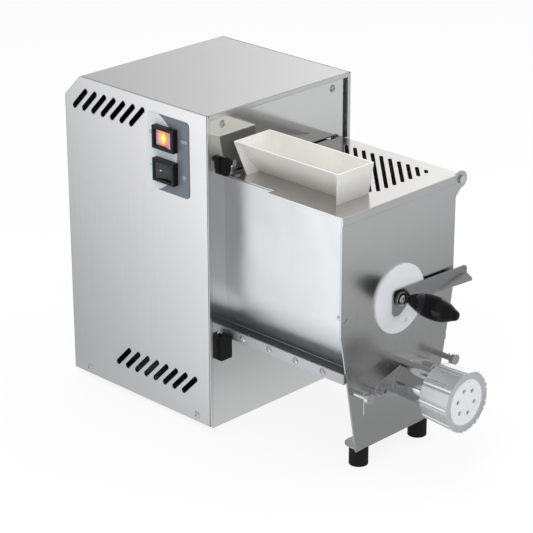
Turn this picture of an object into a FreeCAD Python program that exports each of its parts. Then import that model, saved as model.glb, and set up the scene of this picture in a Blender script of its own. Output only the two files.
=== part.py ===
"""Electric pasta maker: a bench-top extruder with a mixing tank in front of a drive cabinet.

X runs across the machine, Y runs from the ring nut (front) to the cabinet's back, Z is up.
Pieces are drawn about the machine's own datum: X at the centre plane, Y at the cabinet's front
edges, Z at the table. Each piece is then moved so that the whole machine stands centred.
"""
import FreeCAD, Part
import math
import os
from types import SimpleNamespace

import Sketcher

Vector = FreeCAD.Vector
LEFT = -1
RIGHT = 1

# Driving sizes in millimetres, degrees and counts
SIZES = {
    # Cabinet shell
    "cabinet_width": 260,
    "cabinet_depth": 268,
    "cabinet_height": 432,
    "panel_bottom": 8.6,
    "sheet": 1.5,
    "front_return": 5,
    "bottom_return": 15,
    "rear_chamfer": 30,
    "cover_lip": 6,
    "cover_tail": 12,
    "front_recess": 4.5,
    "front_panel_gap": 3,
    "front_panel_bottom": 3,
    "base_thickness": 3,
    "base_flange": 16,
    "frame_leg": 20,
    "frame_wall": 2,
    "frame_bar_height": 24,
    # Ventilation slots in the side and rear panels
    "vent_width": 7.5,
    "vent_length": 40.5,
    "vent_angle": 46,
    "vent_pitch": 18.2,
    "upper_vent_count": 7,
    "upper_vent_y": 238.3,
    "upper_vent_drop": 29.8,
    "lower_vent_count": 8,
    "lower_vent_y": 167,
    "lower_vent_z": 56.4,
    # Cabinet screws and feet
    "screw_radius": 2.5,
    "screw_head_radius": 5,
    "screw_head_height": 2.6,
    "screw_socket": 1.6,
    "screw_socket_radius": 2.1,
    "screw_length": 10,
    "panel_screw_front": 26,
    "panel_screw_rear": 237,
    "panel_screw_height": 18,
    "front_screw_x": 100,
    "front_screw_drop": 17,
    "foot_radius": 12,
    "foot_side_inset": 30,
    "foot_end_inset": 35,
    "foot_bolt_radius": 3,
    "foot_bolt_sink": 4,
    "foot_bolt_head_radius": 5.7,
    "foot_bolt_head_height": 3.9,
    # Switches on the left side panel
    "label_front": 33,
    "label_width": 76,
    "label_drop": 117,
    "label_height": 101,
    "label_thickness": 0.8,
    "label_corner": 6,
    "switch_y": 72.5,
    "upper_switch_drop": 44.2,
    "lower_switch_drop": 87.6,
    "switch_length": 39,
    "switch_height": 30,
    "switch_proud": 8,
    "switch_depth": 18,
    "switch_rail": 4,
    "rocker_tilt": 7,
    "rocker_pin_radius": 1.5,
    "rocker_crown": 6,
    "rocker_dip": 2.5,
    "rocker_body": 3,
    "rocker_foot": 9.5,
    "rocker_play": 0.8,
    # Power inlet gland and cooling fan at the back
    "gland_x": 92,
    "gland_z": 45,
    "gland_radius": 10,
    "gland_bore": 4,
    "gland_reach": 12,
    "fan_x": -55,
    "fan_z": 105,
    "fan_size": 92,
    "fan_depth": 25,
    "fan_hub_radius": 20,
    "fan_blade_count": 7,
    "fan_blade_thickness": 2,
    "fan_blade_twist": 35,
    "fan_tip_gap": 2,
    "fan_spoke": 5,
    "grille_slot_width": 4,
    "grille_slot_pitch": 8,
    "grille_slot_count": 10,
    # Tank, its rails and the front plate
    "tank_length": 201,
    "tank_radius": 96,
    "tank_bottom": 105,
    "tank_sheet": 2,
    "tank_top": 346.2,
    "rail_bottom": 125.2,
    "rail_height": 13.2,
    "rail_sheet": 2,
    "rail_screw_first": 26.6,
    "rail_screw_pitch": 46.4,
    "rail_screw_count": 4,
    "plate_front": 203,
    "plate_sheet": 2,
    "plate_half_width": 105,
    "plate_shoulder_z": 192,
    "plate_bottom_half_width": 74,
    "plate_bottom_z": 25,
    "plate_flange_depth": 31,
    "plate_flange_half_width": 70,
    "plate_flange_corner": 14,
    "plate_hem": 10,
    "plate_hem_sheet": 1,
    "hinge_x": 115,
    "hinge_z": 339,
    "hinge_ear_radius": 11,
    "plate_screw_x": 99.5,
    "tank_lug": 8,
    "plate_screw_z": 214,
    "front_foot_x": 56.4,
    "front_foot_y": 191.4,
    "front_foot_radius": 12.5,
    # Lid, its hinge and the feed tray
    "lid_sheet": 1.5,
    "lid_left": 106,
    "lid_right": 112,
    "lid_front": 204.5,
    "lid_front_right": 104,
    "lid_back_gap": 1,
    "lid_notch_x": 95,
    "lid_notch_y": 80,
    "lid_rest_gap": 0.1,
    "lid_slot_width": 5,
    "lid_slot_pitch": 15.05,
    "lid_slot_count": 10,
    "lid_slot_x": 91.5,
    "lid_slot_first": 28.5,
    "lid_slot_left": 17,
    "lid_slot_front": 173,
    "lid_tab_radius": 8,
    "hinge_pin_radius": 3,
    "hinge_pin_head": 5.5,
    "bracket_sheet": 1.5,
    "bracket_reach": 6,
    "bracket_half_width": 7,
    "tray_left": 57,
    "tray_right": 22,
    "tray_back": 15,
    "tray_front": 170,
    "tray_height": 46,
    "tray_flare_side": 36,
    "tray_flare_right": 7,
    "tray_flare_back": 7,
    "tray_flare_front": 14,
    "tray_end_foot": 78,
    "tray_wall": 2.2,
    "tray_floor": 3,
    "tray_spigot": 3,
    "tray_spigot_inset": 5,
    "tray_slot_inset": 7.5,
    "tray_slot_width": 10,
    "tray_slot_pitch": 19,
    "tray_slot_count": 7,
    # Safety sensors
    "lid_sensor_x": 101,
    "lid_sensor_width": 11,
    "lid_sensor_depth": 12,
    "lid_sensor_bottom": 348.6,
    "lid_sensor_height": 23,
    "lid_key_x": 88,
    "lid_key_width": 9,
    "lid_key_height": 18,
    "tank_sensor_gap": 21,
    "tank_sensor_width": 19,
    "tank_sensor_bottom": 101,
    "tank_sensor_height": 30,
    "tank_sensor_proud": 12,
    # Barrel, ring nut and die
    "auger_z": 107.5,
    "auger_radius": 17.3,
    "auger_root_radius": 10,
    "auger_pitch": 28,
    "auger_flight": 4,
    "auger_front": 292,
    "bore_gap": 0.2,
    "barrel_radius": 23.3,
    "barrel_head_radius": 31.8,
    "barrel_head_back": 273.5,
    "barrel_head_front": 297,
    "flange_thickness": 14,
    "flange_ear_x": 46,
    "flange_ear_radius": 9.5,
    "flange_bolt_radius": 4,
    "flange_bolt_head": 6.5,
    "flange_bolt_head_height": 8,
    "flange_nut_radius": 7.5,
    "flange_nut_height": 6.5,
    "nut_back": 271.5,
    "nut_front": 316.6,
    "nut_back_radius": 37.5,
    "nut_front_radius": 40,
    "nut_rib_count": 9,
    "nut_rib_phase": 19,
    "nut_rib_half_angle": 6.5,
    "nut_shoulder_angle": 9,
    "nut_groove": 3.6,
    "nut_land_drop": 0.5,
    "nut_lip": 4.6,
    "die_face_radius": 30.4,
    "die_flange_depth": 13,
    "die_hole_radius": 3,
    "die_hole_circle": 16.2,
    "die_hole_count": 6,
    "die_hole_phase": 45,
    "cutter_stud_x": 81,
    "cutter_stud_z": 110.5,
    "cutter_stud_radius": 4,
    "cutter_stud_length": 24,
    "cutter_cap_radius": 7,
    "cutter_cap_length": 5,
    "cutter_pin_radius": 1,
    "cutter_pin_place": 6,
    "cutter_pin_above": 6,
    "cutter_pin_below": 25,
    # Front bearing, its locking lever and the handle
    "mixer_disc_radius": 45.5,
    "mixer_disc_thickness": 3,
    "mixer_spigot_radius": 28,
    "mixer_spigot_depth": 11,
    "lever_sheet": 2,
    "lever_hub_radius": 9,
    "lever_hub_thickness": 1.5,
    "lever_reach": 126.5,
    "lever_tip_top": 9.5,
    "lever_top": 15,
    "lever_tail": 15.5,
    "lever_tail_width": 13,
    "lever_tail_drop": 20.5,
    "lever_waist_x": 12,
    "lever_waist_drop": 9,
    "lever_corner": 6,
    "lever_flap_corner": 3,
    "lever_fold_start": 58.7,
    "lever_fold_start_z": 12,
    "lever_fold_end_z": 2.3,
    "lever_flap_reach": 12,
    "lever_flap_drop": 6,
    "handle_x": 14,
    "handle_z": 208.5,
    "handle_spindle_radius": 3.5,
    "handle_start": 210,
    "handle_end": 287,
    "handle_neck_radius": 5.5,
    "handle_radius": 15.3,
    # Drive train
    "gear_module": 2.5,
    "mixer_teeth": 48,
    "auger_teeth": 36,
    "idler_pinion_teeth": 18,
    "idler_module": 1.5,
    "idler_wheel_teeth": 72,
    "motor_teeth": 17,
    "idler_angle": 45,
    "gear_backlash": 0.4,
    "gear_width": 20,
    "wheel_width": 12,
    "gear_gap": 4,
    "gear_side_gap": 1,
    "shaft_radius": 9,
    "motor_shaft_radius": 6,
    "bearing_wall": 5,
    "running_gap": 0.05,
    "fit_gap": 0.3,
    "gearbox_half_width": 90,
    "gearbox_top": 348,
    "gearbox_plate": 8,
    "gearbox_post_radius": 7,
    "gearbox_post_inset": 10,
    "gearbox_foot": 25,
    "mixer_arm_count": 5,
    "mixer_arm_radius": 5,
    "mixer_arm_reach": 84,
    "mixer_arm_spacing": 36,
    "mixer_blade_width": 26,
    "mixer_blade_height": 14,
    "mixer_blade_thickness": 4,
    "mixer_hub_radius": 13,
    "seal_radius": 15,
    "seal_thickness": 5,
    "motor_radius": 52,
    "motor_length": 140,
    "motor_wall": 5,
    "motor_fin_count": 20,
    "motor_fin_height": 5,
    "motor_fin_width": 3,
    "motor_flange_radius": 60,
    "motor_flange_thickness": 8,
    "motor_bolt_circle": 50,
    "stator_wall": 18,
    "stator_length": 80,
    "rotor_gap": 0.5,
    "fan_cover_length": 28,
    "fan_cover_hole_count": 8,
    "motor_fan_radius": 40,
    "motor_fan_thickness": 12,
    "capacitor_radius": 18,
    "capacitor_length": 70,
    "capacitor_x": 90,
    "capacitor_rear_gap": 70,
    "control_box_width": 60,
    "control_box_depth": 45,
    "control_box_height": 55,
    "control_box_x": -55,
    "control_box_y": 150,
}

doc = FreeCAD.newDocument("PastaMaker")
sheet = doc.addObject("Spreadsheet::Sheet", "Sizes")
for row, (alias, amount) in enumerate(SIZES.items(), start=1):
    sheet.set("A%d" % row, alias)
    sheet.set("B%d" % row, str(amount))
    sheet.setAlias("B%d" % row, alias)
doc.recompute()


class Value:
    """A number with the expression that gives it, so that one line of arithmetic drives both."""

    def __init__(self, number, text):
        self.number = number
        self.text = text

    def __add__(self, other):
        other = as_value(other)
        return Value(self.number + other.number, "(%s + %s)" % (self.text, other.text))

    def __sub__(self, other):
        other = as_value(other)
        return Value(self.number - other.number, "(%s - %s)" % (self.text, other.text))

    def __mul__(self, other):
        other = as_value(other)
        return Value(self.number * other.number, "(%s * %s)" % (self.text, other.text))

    def __truediv__(self, other):
        other = as_value(other)
        return Value(self.number / other.number, "(%s / %s)" % (self.text, other.text))

    def __radd__(self, other):
        return as_value(other) + self

    def __rsub__(self, other):
        return as_value(other) - self

    def __rmul__(self, other):
        return as_value(other) * self

    def __rtruediv__(self, other):
        return as_value(other) / self

    def __neg__(self):
        return Value(-self.number, "(0 - %s)" % self.text)


def as_value(item):
    if isinstance(item, Value):
        return item
    return Value(float(item), "%.9g" % item)


def sine(angle):
    return Value(math.sin(math.radians(angle.number)), "sin(%s)" % angle.text)


def cosine(angle):
    return Value(math.cos(math.radians(angle.number)), "cos(%s)" % angle.text)


def arc_sine(ratio):
    return Value(math.degrees(math.asin(ratio.number)), "asin(%s)" % ratio.text)


def root(item):
    return Value(math.sqrt(item.number), "sqrt(%s)" % item.text)


S = SimpleNamespace(**{alias: Value(float(sheet.get(alias)), "Sizes." + alias) for alias in SIZES})

# The whole machine is moved so that its bounding box is centred on the origin
REACH_LEFT = S.cabinet_width / 2 + S.label_thickness + S.switch_proud
REACH_RIGHT = S.cabinet_width / 2 + S.screw_head_height
REACH_BACK = S.cabinet_depth + S.gland_reach
CENTRE_X = (REACH_RIGHT - REACH_LEFT) / 2
CENTRE_Y = (REACH_BACK - S.nut_front) / 2
PLACES = {}
PIECES = []


def bind(target, name, item):
    """Drive one property, or one part of a placement, by a size."""
    target.setExpression(name, as_value(item).text)


def put(target, x=0, y=0, z=0):
    """Put an object at a point of the machine, kept so that finish can add the shift."""
    PLACES[target.Name] = (x, y, z)
    for axis, item in zip("xyz", (x, y, z)):
        bind(target, "Placement.Base." + axis, item)
    return target


def finish(target, label, at=None):
    """Name a finished piece and move it from the machine's datum to the centred frame."""
    x, y, z = at or PLACES.get(target.Name, (0, 0, 0))
    bind(target, "Placement.Base.x", x - CENTRE_X)
    bind(target, "Placement.Base.y", y - CENTRE_Y)
    bind(target, "Placement.Base.z", z)
    target.Label = label
    PIECES.append(target)
    return target


# Primitives and booleans

def box(x0, x1, y0, y1, z0, z1):
    """Box between two corners."""
    block = doc.addObject("Part::Box", "Block")
    bind(block, "Length", as_value(x1) - x0)
    bind(block, "Width", as_value(y1) - y0)
    bind(block, "Height", as_value(z1) - z0)
    return put(block, x0, y0, z0)


def rod(axis, x, y, z, radius, length):
    """Round bar that starts at a point and runs along +X, +Y or +Z."""
    bar = doc.addObject("Part::Cylinder", "Rod")
    bind(bar, "Radius", radius)
    bind(bar, "Height", length)
    turns = {
        "X": FreeCAD.Rotation(Vector(0, 1, 0), 90),
        "Y": FreeCAD.Rotation(Vector(1, 0, 0), -90),
        "Z": FreeCAD.Rotation(),
    }
    bar.Placement.Rotation = turns[axis]
    return put(bar, x, y, z)


def fuse(*shapes):
    joined = shapes[0]
    for shape in shapes[1:]:
        step = doc.addObject("Part::Fuse", "Join")
        step.Base = joined
        step.Tool = shape
        step.Refine = True
        joined = step
    return joined


def cut(base, *tools):
    for tool in tools:
        step = doc.addObject("Part::Cut", "Cut")
        step.Base = base
        step.Tool = tool
        base = step
    return base


def group(label, members):
    """Identical loose pieces that share one node."""
    bundle = doc.addObject("Part::Compound", "Group")
    bundle.Links = members
    return finish(bundle, label)


def shaped(label, shape, at=(0, 0, 0)):
    """Piece whose shape is worked out from the sheet, for forms that no feature makes."""
    piece = doc.addObject("Part::Feature", "Shaped")
    piece.Shape = shape
    return finish(piece, label, at)


# Bodies: sketches on the origin planes, pads and pockets between two stations of an axis

def new_body():
    return doc.addObject("PartDesign::Body", "Body")


def plane_sketch(body, plane, station, loops):
    sketch = body.newObject("Sketcher::SketchObject", "Sketch")
    face = [item for item in body.Origin.OriginFeatures if item.Role == plane + "_Plane"][0]
    sketch.AttachmentSupport = (face, [""])
    sketch.MapMode = "FlatFace"
    station = as_value(station)
    bind(sketch, "AttachmentOffset.Base.z", -station if plane == "XZ" else station)
    for loop in loops:
        loop(sketch)
    return sketch


def hold(sketch, kind, geometry, point, value):
    """Tie one coordinate of a sketch point to a size, measured from the origin."""
    number = sketch.addConstraint(Sketcher.Constraint(kind, -1, 1, geometry, point, value.number))
    sketch.setExpression("Constraints[%d]" % number, value.text)


def polygon(*points):
    def draw(sketch):
        start = sketch.GeometryCount
        corners = [(as_value(u), as_value(v)) for u, v in points]
        count = len(corners)
        for index, (u, v) in enumerate(corners):
            u_next, v_next = corners[(index + 1) % count]
            edge = Part.LineSegment(Vector(u.number, v.number, 0), Vector(u_next.number, v_next.number, 0))
            sketch.addGeometry(edge, False)
        for index in range(count):
            follower = start + (index + 1) % count
            sketch.addConstraint(Sketcher.Constraint("Coincident", start + index, 2, follower, 1))
        for index, (u, v) in enumerate(corners):
            hold(sketch, "DistanceX", start + index, 1, u)
            hold(sketch, "DistanceY", start + index, 1, v)
    return draw


def rectangle(u0, u1, v0, v1):
    return polygon((u0, v0), (u1, v0), (u1, v1), (u0, v1))


def circle(u, v, radius):
    def draw(sketch):
        centre = (as_value(u), as_value(v))
        size = as_value(radius)
        middle = Vector(centre[0].number, centre[1].number, 0)
        ring = sketch.addGeometry(Part.Circle(middle, Vector(0, 0, 1), size.number), False)
        hold(sketch, "DistanceX", ring, 3, centre[0])
        hold(sketch, "DistanceY", ring, 3, centre[1])
        number = sketch.addConstraint(Sketcher.Constraint("Radius", ring, size.number))
        sketch.setExpression("Constraints[%d]" % number, size.text)
    return draw


def slot(u, v, length, width, angle):
    """Round-ended slot about its centre, with its long axis at an angle to the sketch's U axis."""
    def draw(sketch):
        radius = as_value(width) / 2
        turn = as_value(angle)
        reach = as_value(length) / 2 - radius
        ends = [(u + reach * cosine(turn) * sign, v + reach * sine(turn) * sign) for sign in (1, -1)]
        tilt = math.radians(turn.number)
        across = Vector(-math.sin(tilt), math.cos(tilt), 0) * radius.number
        middles = [Vector(as_value(a).number, as_value(b).number, 0) for a, b in ends]
        caps = []
        for middle, begin in zip(middles, (tilt - math.pi / 2, tilt + math.pi / 2)):
            full = Part.Circle(middle, Vector(0, 0, 1), radius.number)
            caps.append(sketch.addGeometry(Part.ArcOfCircle(full, begin, begin + math.pi), False))
        near = sketch.addGeometry(Part.LineSegment(middles[0] + across, middles[1] + across), False)
        far = sketch.addGeometry(Part.LineSegment(middles[1] - across, middles[0] - across), False)
        for first, first_end, second, second_end in (
            (caps[0], 2, near, 1),
            (near, 2, caps[1], 1),
            (caps[1], 2, far, 1),
            (far, 2, caps[0], 1),
        ):
            sketch.addConstraint(Sketcher.Constraint("Tangent", first, first_end, second, second_end))
        number = sketch.addConstraint(Sketcher.Constraint("Radius", caps[0], radius.number))
        sketch.setExpression("Constraints[%d]" % number, radius.text)
        for cap, (a, b) in zip(caps, ends):
            hold(sketch, "DistanceX", cap, 3, as_value(a))
            hold(sketch, "DistanceY", cap, 3, as_value(b))
    return draw


def slab(body, plane, start, end, *loops):
    """Pad between two stations of the axis that the plane faces."""
    sketch = plane_sketch(body, plane, start, loops)
    feature = body.newObject("PartDesign::Pad", "Pad")
    feature.Profile = sketch
    feature.Reversed = plane == "XZ"
    bind(feature, "Length", as_value(end) - start)
    return feature


def recess(body, plane, start, end, *loops):
    """Pocket between two stations of the axis that the plane faces."""
    sketch = plane_sketch(body, plane, start, loops)
    feature = body.newObject("PartDesign::Pocket", "Pocket")
    feature.Profile = sketch
    feature.Reversed = plane != "XZ"
    bind(feature, "Length", as_value(end) - start)
    return feature


def turned(body, *points):
    """Solid of revolution about the body's Y axis, from points of (radius, Y)."""
    sketch = plane_sketch(body, "XY", 0, [polygon(*points)])
    feature = body.newObject("PartDesign::Revolution", "Revolution")
    feature.Profile = sketch
    feature.ReferenceAxis = (sketch, ["V_Axis"])
    feature.Angle = 360
    return feature


def origin_axis(body, letter):
    return [item for item in body.Origin.OriginFeatures if item.Role == letter + "_Axis"][0]


def repeat(body, feature, letter, pitch, count, backwards=False):
    pattern = body.newObject("PartDesign::LinearPattern", "Row")
    pattern.Originals = [feature]
    pattern.Direction = (origin_axis(body, letter), [""])
    pattern.Reversed = backwards
    bind(pattern, "Length", pitch * (count - 1))
    bind(pattern, "Occurrences", count)
    body.Tip = pattern
    return pattern


def repeat_round(body, feature, letter, count):
    pattern = body.newObject("PartDesign::PolarPattern", "Ring")
    pattern.Originals = [feature]
    pattern.Axis = (origin_axis(body, letter), [""])
    pattern.Angle = 360
    bind(pattern, "Occurrences", count)
    body.Tip = pattern
    return pattern


def round_edges(body, radius, wanted):
    """Fillet the edges that a test picks on the body as it stands."""
    doc.recompute()
    base = body.Tip
    names = ["Edge%d" % number for number, edge in enumerate(base.Shape.Edges, 1) if wanted(edge)]
    feature = body.newObject("PartDesign::Fillet", "Fillet")
    feature.Base = (base, names)
    bind(feature, "Radius", radius)
    return feature


def runs_along(edge, letter):
    """True for a straight edge parallel to one axis."""
    if len(edge.Vertexes) != 2 or edge.Curve.TypeId != "Part::GeomLine":
        return False
    span = edge.Vertexes[1].Point - edge.Vertexes[0].Point
    return abs(abs(span.normalize()["XYZ".index(letter)]) - 1) < 1e-6


# Fasteners

def screw(point, direction, head_radius=S.screw_head_radius, length=S.screw_length):
    """Dome-headed socket screw: its head stands on the point and faces along the direction."""
    height = S.screw_head_height
    ball = (head_radius * head_radius + height * height) / (height * 2)
    cap = doc.addObject("Part::Sphere", "Cap")
    bind(cap, "Radius", ball)
    bind(cap, "Angle1", arc_sine((ball - height) / ball))
    put(cap, 0, 0, height - ball)
    shank = rod("Z", 0, 0, -length, S.screw_radius, length)
    socket = doc.addObject("Part::Prism", "Socket")
    socket.Polygon = 6
    bind(socket, "Circumradius", S.screw_socket_radius)
    bind(socket, "Height", S.screw_socket * 2)
    put(socket, 0, 0, height - S.screw_socket)
    body = cut(fuse(cap, shank), socket)
    body.Placement.Rotation = FreeCAD.Rotation(Vector(0, 0, 1), Vector(*direction))
    return put(body, *point)


# Stations shared by neighbouring pieces

HALF_WIDTH = S.cabinet_width / 2
INNER_HALF_WIDTH = HALF_WIDTH - S.sheet
PANEL_FRONT = S.front_recess
PANEL_BACK = S.front_recess + S.sheet
BACK_INSIDE = S.cabinet_depth - S.sheet
BASE_BOTTOM = S.panel_bottom + S.sheet
BASE_TOP = BASE_BOTTOM + S.base_thickness
CHAMFER_FOOT = S.cabinet_height - S.rear_chamfer
COVER_END = CHAMFER_FOOT - S.cover_tail
SCREW_HOLE = S.screw_radius + S.running_gap
FRONT_SCREW_Z = S.cabinet_height - S.front_screw_drop
UPPER_SWITCH_Z = S.cabinet_height - S.upper_switch_drop
LOWER_SWITCH_Z = S.cabinet_height - S.lower_switch_drop
TANK_CENTRE_Z = S.tank_bottom + S.tank_radius
TANK_SENSOR_LEFT = -S.tank_radius - S.tank_sensor_gap

PLATE_FRONT = -S.plate_front
PLATE_BACK = PLATE_FRONT + S.plate_sheet

GEARBOX_FRONT = PANEL_BACK
GEARBOX_INSIDE = GEARBOX_FRONT + S.gearbox_plate
MAIN_GEARS = GEARBOX_INSIDE + S.gear_gap
MAIN_GEARS_END = MAIN_GEARS + S.gear_width
WHEEL_START = MAIN_GEARS_END + S.gear_gap
WHEEL_END = WHEEL_START + S.wheel_width
GEARBOX_REAR = WHEEL_END + S.gear_gap
GEARBOX_BACK = GEARBOX_REAR + S.gearbox_plate

MIXER_Z = S.auger_z + S.gear_module * (S.mixer_teeth + S.auger_teeth) / 2
IDLER_DISTANCE = S.gear_module * (S.mixer_teeth + S.idler_pinion_teeth) / 2
IDLER_X = IDLER_DISTANCE * cosine(S.idler_angle)
IDLER_Z = MIXER_Z + IDLER_DISTANCE * sine(S.idler_angle)
MOTOR_DISTANCE = S.idler_module * (S.idler_wheel_teeth + S.motor_teeth) / 2
MOTOR_Z = IDLER_Z + root(MOTOR_DISTANCE * MOTOR_DISTANCE - IDLER_X * IDLER_X)
SHAFT_BORE = S.shaft_radius + S.running_gap
BEARING_RADIUS = SHAFT_BORE + S.bearing_wall


# Cabinet

def side_panel(label, side):
    """Side sheet with its front and bottom returns, vents and, on the left, the switch windows."""
    body = new_body()
    outside = HALF_WIDTH * side
    inside = INNER_HALF_WIDTH * side
    low, high = (outside, inside) if side == LEFT else (inside, outside)
    slab(body, "YZ", low, high, polygon(
        (0, S.panel_bottom),
        (S.cabinet_depth, S.panel_bottom),
        (S.cabinet_depth, CHAMFER_FOOT),
        (S.cabinet_depth - S.rear_chamfer, S.cabinet_height),
        (0, S.cabinet_height),
    ))
    return_edge = (HALF_WIDTH - S.front_return) * side
    slab(body, "XZ", 0, S.sheet, rectangle(inside, return_edge, S.panel_bottom, S.cabinet_height - S.sheet))
    bottom_edge = (HALF_WIDTH - S.bottom_return) * side
    slab(body, "XY", S.panel_bottom, BASE_BOTTOM, rectangle(inside, bottom_edge, PANEL_BACK, BACK_INSIDE))
    for count, y, z in (
        (S.upper_vent_count, S.upper_vent_y, S.cabinet_height - S.upper_vent_drop),
        (S.lower_vent_count, S.lower_vent_y, S.lower_vent_z),
    ):
        vent = recess(body, "YZ", low, high, slot(y, z, S.vent_length, S.vent_width, -S.vent_angle))
        repeat(body, vent, "Y", S.vent_pitch, count, backwards=True)
    recess(
        body, "YZ", low, high,
        circle(S.panel_screw_front, S.panel_screw_height, SCREW_HOLE),
        circle(S.panel_screw_rear, S.panel_screw_height, SCREW_HOLE),
    )
    if side == LEFT:
        for centre in (UPPER_SWITCH_Z, LOWER_SWITCH_Z):
            recess(body, "YZ", low, high, switch_window(centre))
    return finish(body, label)


def switch_window(centre, margin=0):
    """Outline of a switch's body where it passes through the panel."""
    half_length = S.switch_length / 2 - S.switch_rail / 2 + margin
    half_height = S.switch_height / 2 - S.switch_rail / 2 + margin
    return rectangle(
        S.switch_y - half_length, S.switch_y + half_length, centre - half_height, centre + half_height,
    )


def top_cover():
    """Folded sheet: front lip, top and rear chamfer."""
    body = new_body()
    bend = S.sheet * math.tan(math.radians(22.5))
    inner_top = S.cabinet_height - S.sheet
    slab(body, "YZ", -INNER_HALF_WIDTH, INNER_HALF_WIDTH, polygon(
        (0, S.cabinet_height),
        (S.cabinet_depth - S.rear_chamfer, S.cabinet_height),
        (S.cabinet_depth, CHAMFER_FOOT),
        (S.cabinet_depth, COVER_END),
        (BACK_INSIDE, COVER_END),
        (BACK_INSIDE, CHAMFER_FOOT - bend),
        (S.cabinet_depth - S.rear_chamfer - bend, inner_top),
        (0, inner_top),
    ))
    lip_half = HALF_WIDTH - S.front_return
    slab(body, "XZ", 0, S.sheet, rectangle(-lip_half, lip_half, S.cabinet_height - S.cover_lip, inner_top))
    return finish(body, "top_cover")


def front_panel():
    """Polished sheet behind the tank, with the two shaft openings."""
    body = new_body()
    half = HALF_WIDTH - S.front_return - S.front_panel_gap
    slab(
        body, "XZ", PANEL_FRONT, PANEL_BACK,
        rectangle(-half, half, S.front_panel_bottom, S.cabinet_height - S.sheet),
        circle(0, S.auger_z, BEARING_RADIUS),
        circle(0, MIXER_Z, BEARING_RADIUS),
        circle(-S.front_screw_x, FRONT_SCREW_Z, SCREW_HOLE),
        circle(S.front_screw_x, FRONT_SCREW_Z, SCREW_HOLE),
        circle(*tank_sensor_bolt_point(), SCREW_HOLE),
    )
    return finish(body, "front_panel")


def rear_panel():
    """Back sheet with the fan grille and the power inlet."""
    body = new_body()
    slab(
        body, "XZ", BACK_INSIDE, S.cabinet_depth,
        rectangle(-INNER_HALF_WIDTH, INNER_HALF_WIDTH, S.panel_bottom, COVER_END),
        circle(S.gland_x, S.gland_z, S.gland_radius + S.running_gap),
    )
    span = S.grille_slot_pitch * (S.grille_slot_count - 1)
    grille = recess(body, "XZ", BACK_INSIDE, S.cabinet_depth, slot(
        S.fan_x - span / 2, S.fan_z, S.fan_size - S.fan_spoke * 3, S.grille_slot_width, 90,
    ))
    repeat(body, grille, "X", S.grille_slot_pitch, S.grille_slot_count)
    return finish(body, "rear_panel")


def base_plate():
    """Floor of the cabinet, folded up at both sides for the panel screws."""
    body = new_body()
    slab(
        body, "XY", BASE_BOTTOM, BASE_TOP,
        rectangle(-INNER_HALF_WIDTH, INNER_HALF_WIDTH, PANEL_BACK, BACK_INSIDE),
        *[circle(x, y, S.foot_bolt_radius + S.running_gap) for x, y in foot_points()],
    )
    for side in (LEFT, RIGHT):
        outside = INNER_HALF_WIDTH * side
        inside = (INNER_HALF_WIDTH - S.base_thickness) * side
        low, high = (outside, inside) if side == LEFT else (inside, outside)
        slab(
            body, "YZ", low, high,
            rectangle(PANEL_BACK, BACK_INSIDE, BASE_TOP, BASE_TOP + S.base_flange),
            circle(S.panel_screw_front, S.panel_screw_height, SCREW_HOLE),
            circle(S.panel_screw_rear, S.panel_screw_height, SCREW_HOLE),
        )
    return finish(body, "base_plate")


def foot_points():
    x = HALF_WIDTH - S.foot_side_inset
    ends = (S.foot_end_inset, S.cabinet_depth - S.foot_end_inset)
    return [(x * side, y) for side in (LEFT, RIGHT) for y in ends]


def rubber_foot(x, y, radius, height):
    foot = rod("Z", x, y, 0, radius, height)
    well = rod("Z", x, y, S.foot_bolt_sink, S.foot_bolt_radius + S.running_gap, height)
    return cut(foot, well)


def rubber_feet():
    """Four feet under the cabinet and two taller ones under the front plate."""
    feet = [rubber_foot(x, y, S.foot_radius, BASE_BOTTOM) for x, y in foot_points()]
    feet += [rubber_foot(x, y, S.front_foot_radius, S.plate_bottom_z) for x, y in front_foot_points()]
    return group("rubber_feet", feet)


def foot_bolts():
    """Bolts down the middle of the feet, with a hex head on the sheet above."""
    spots = [(x, y, BASE_TOP) for x, y in foot_points()]
    spots += [(x, y, S.plate_bottom_z + S.plate_sheet) for x, y in front_foot_points()]
    bolts = []
    for x, y, top in spots:
        shank = rod("Z", x, y, S.foot_bolt_sink, S.foot_bolt_radius, top - S.foot_bolt_sink)
        head = doc.addObject("Part::Prism", "Head")
        head.Polygon = 6
        bind(head, "Circumradius", S.foot_bolt_head_radius)
        bind(head, "Height", S.foot_bolt_head_height)
        put(head, x, y, top)
        bolts.append(fuse(shank, head))
    return group("foot_bolts", bolts)


def inner_frame():
    """Welded frame behind the front panel: two angle posts on the base flanges and a top bar."""
    bottom = BASE_TOP + S.base_flange
    top = S.cabinet_height - S.sheet
    bar_edge = INNER_HALF_WIDTH - S.frame_leg
    wall_back = PANEL_BACK + S.frame_wall
    parts = []
    for side in (LEFT, RIGHT):
        for depth, end in ((S.frame_wall, PANEL_BACK + S.frame_leg), (S.frame_leg, wall_back)):
            ends = (INNER_HALF_WIDTH * side, (INNER_HALF_WIDTH - depth) * side)
            low, high = ends if side == LEFT else ends[::-1]
            parts.append(box(low, high, PANEL_BACK, end, bottom, top))
    parts.append(box(-bar_edge, bar_edge, PANEL_BACK, wall_back, top - S.frame_bar_height, top))
    holes = [
        rod("Y", S.front_screw_x * side, PANEL_BACK, FRONT_SCREW_Z, SCREW_HOLE, S.frame_wall)
        for side in (LEFT, RIGHT)
    ]
    return finish(cut(fuse(*parts), *holes), "inner_frame")


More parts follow.
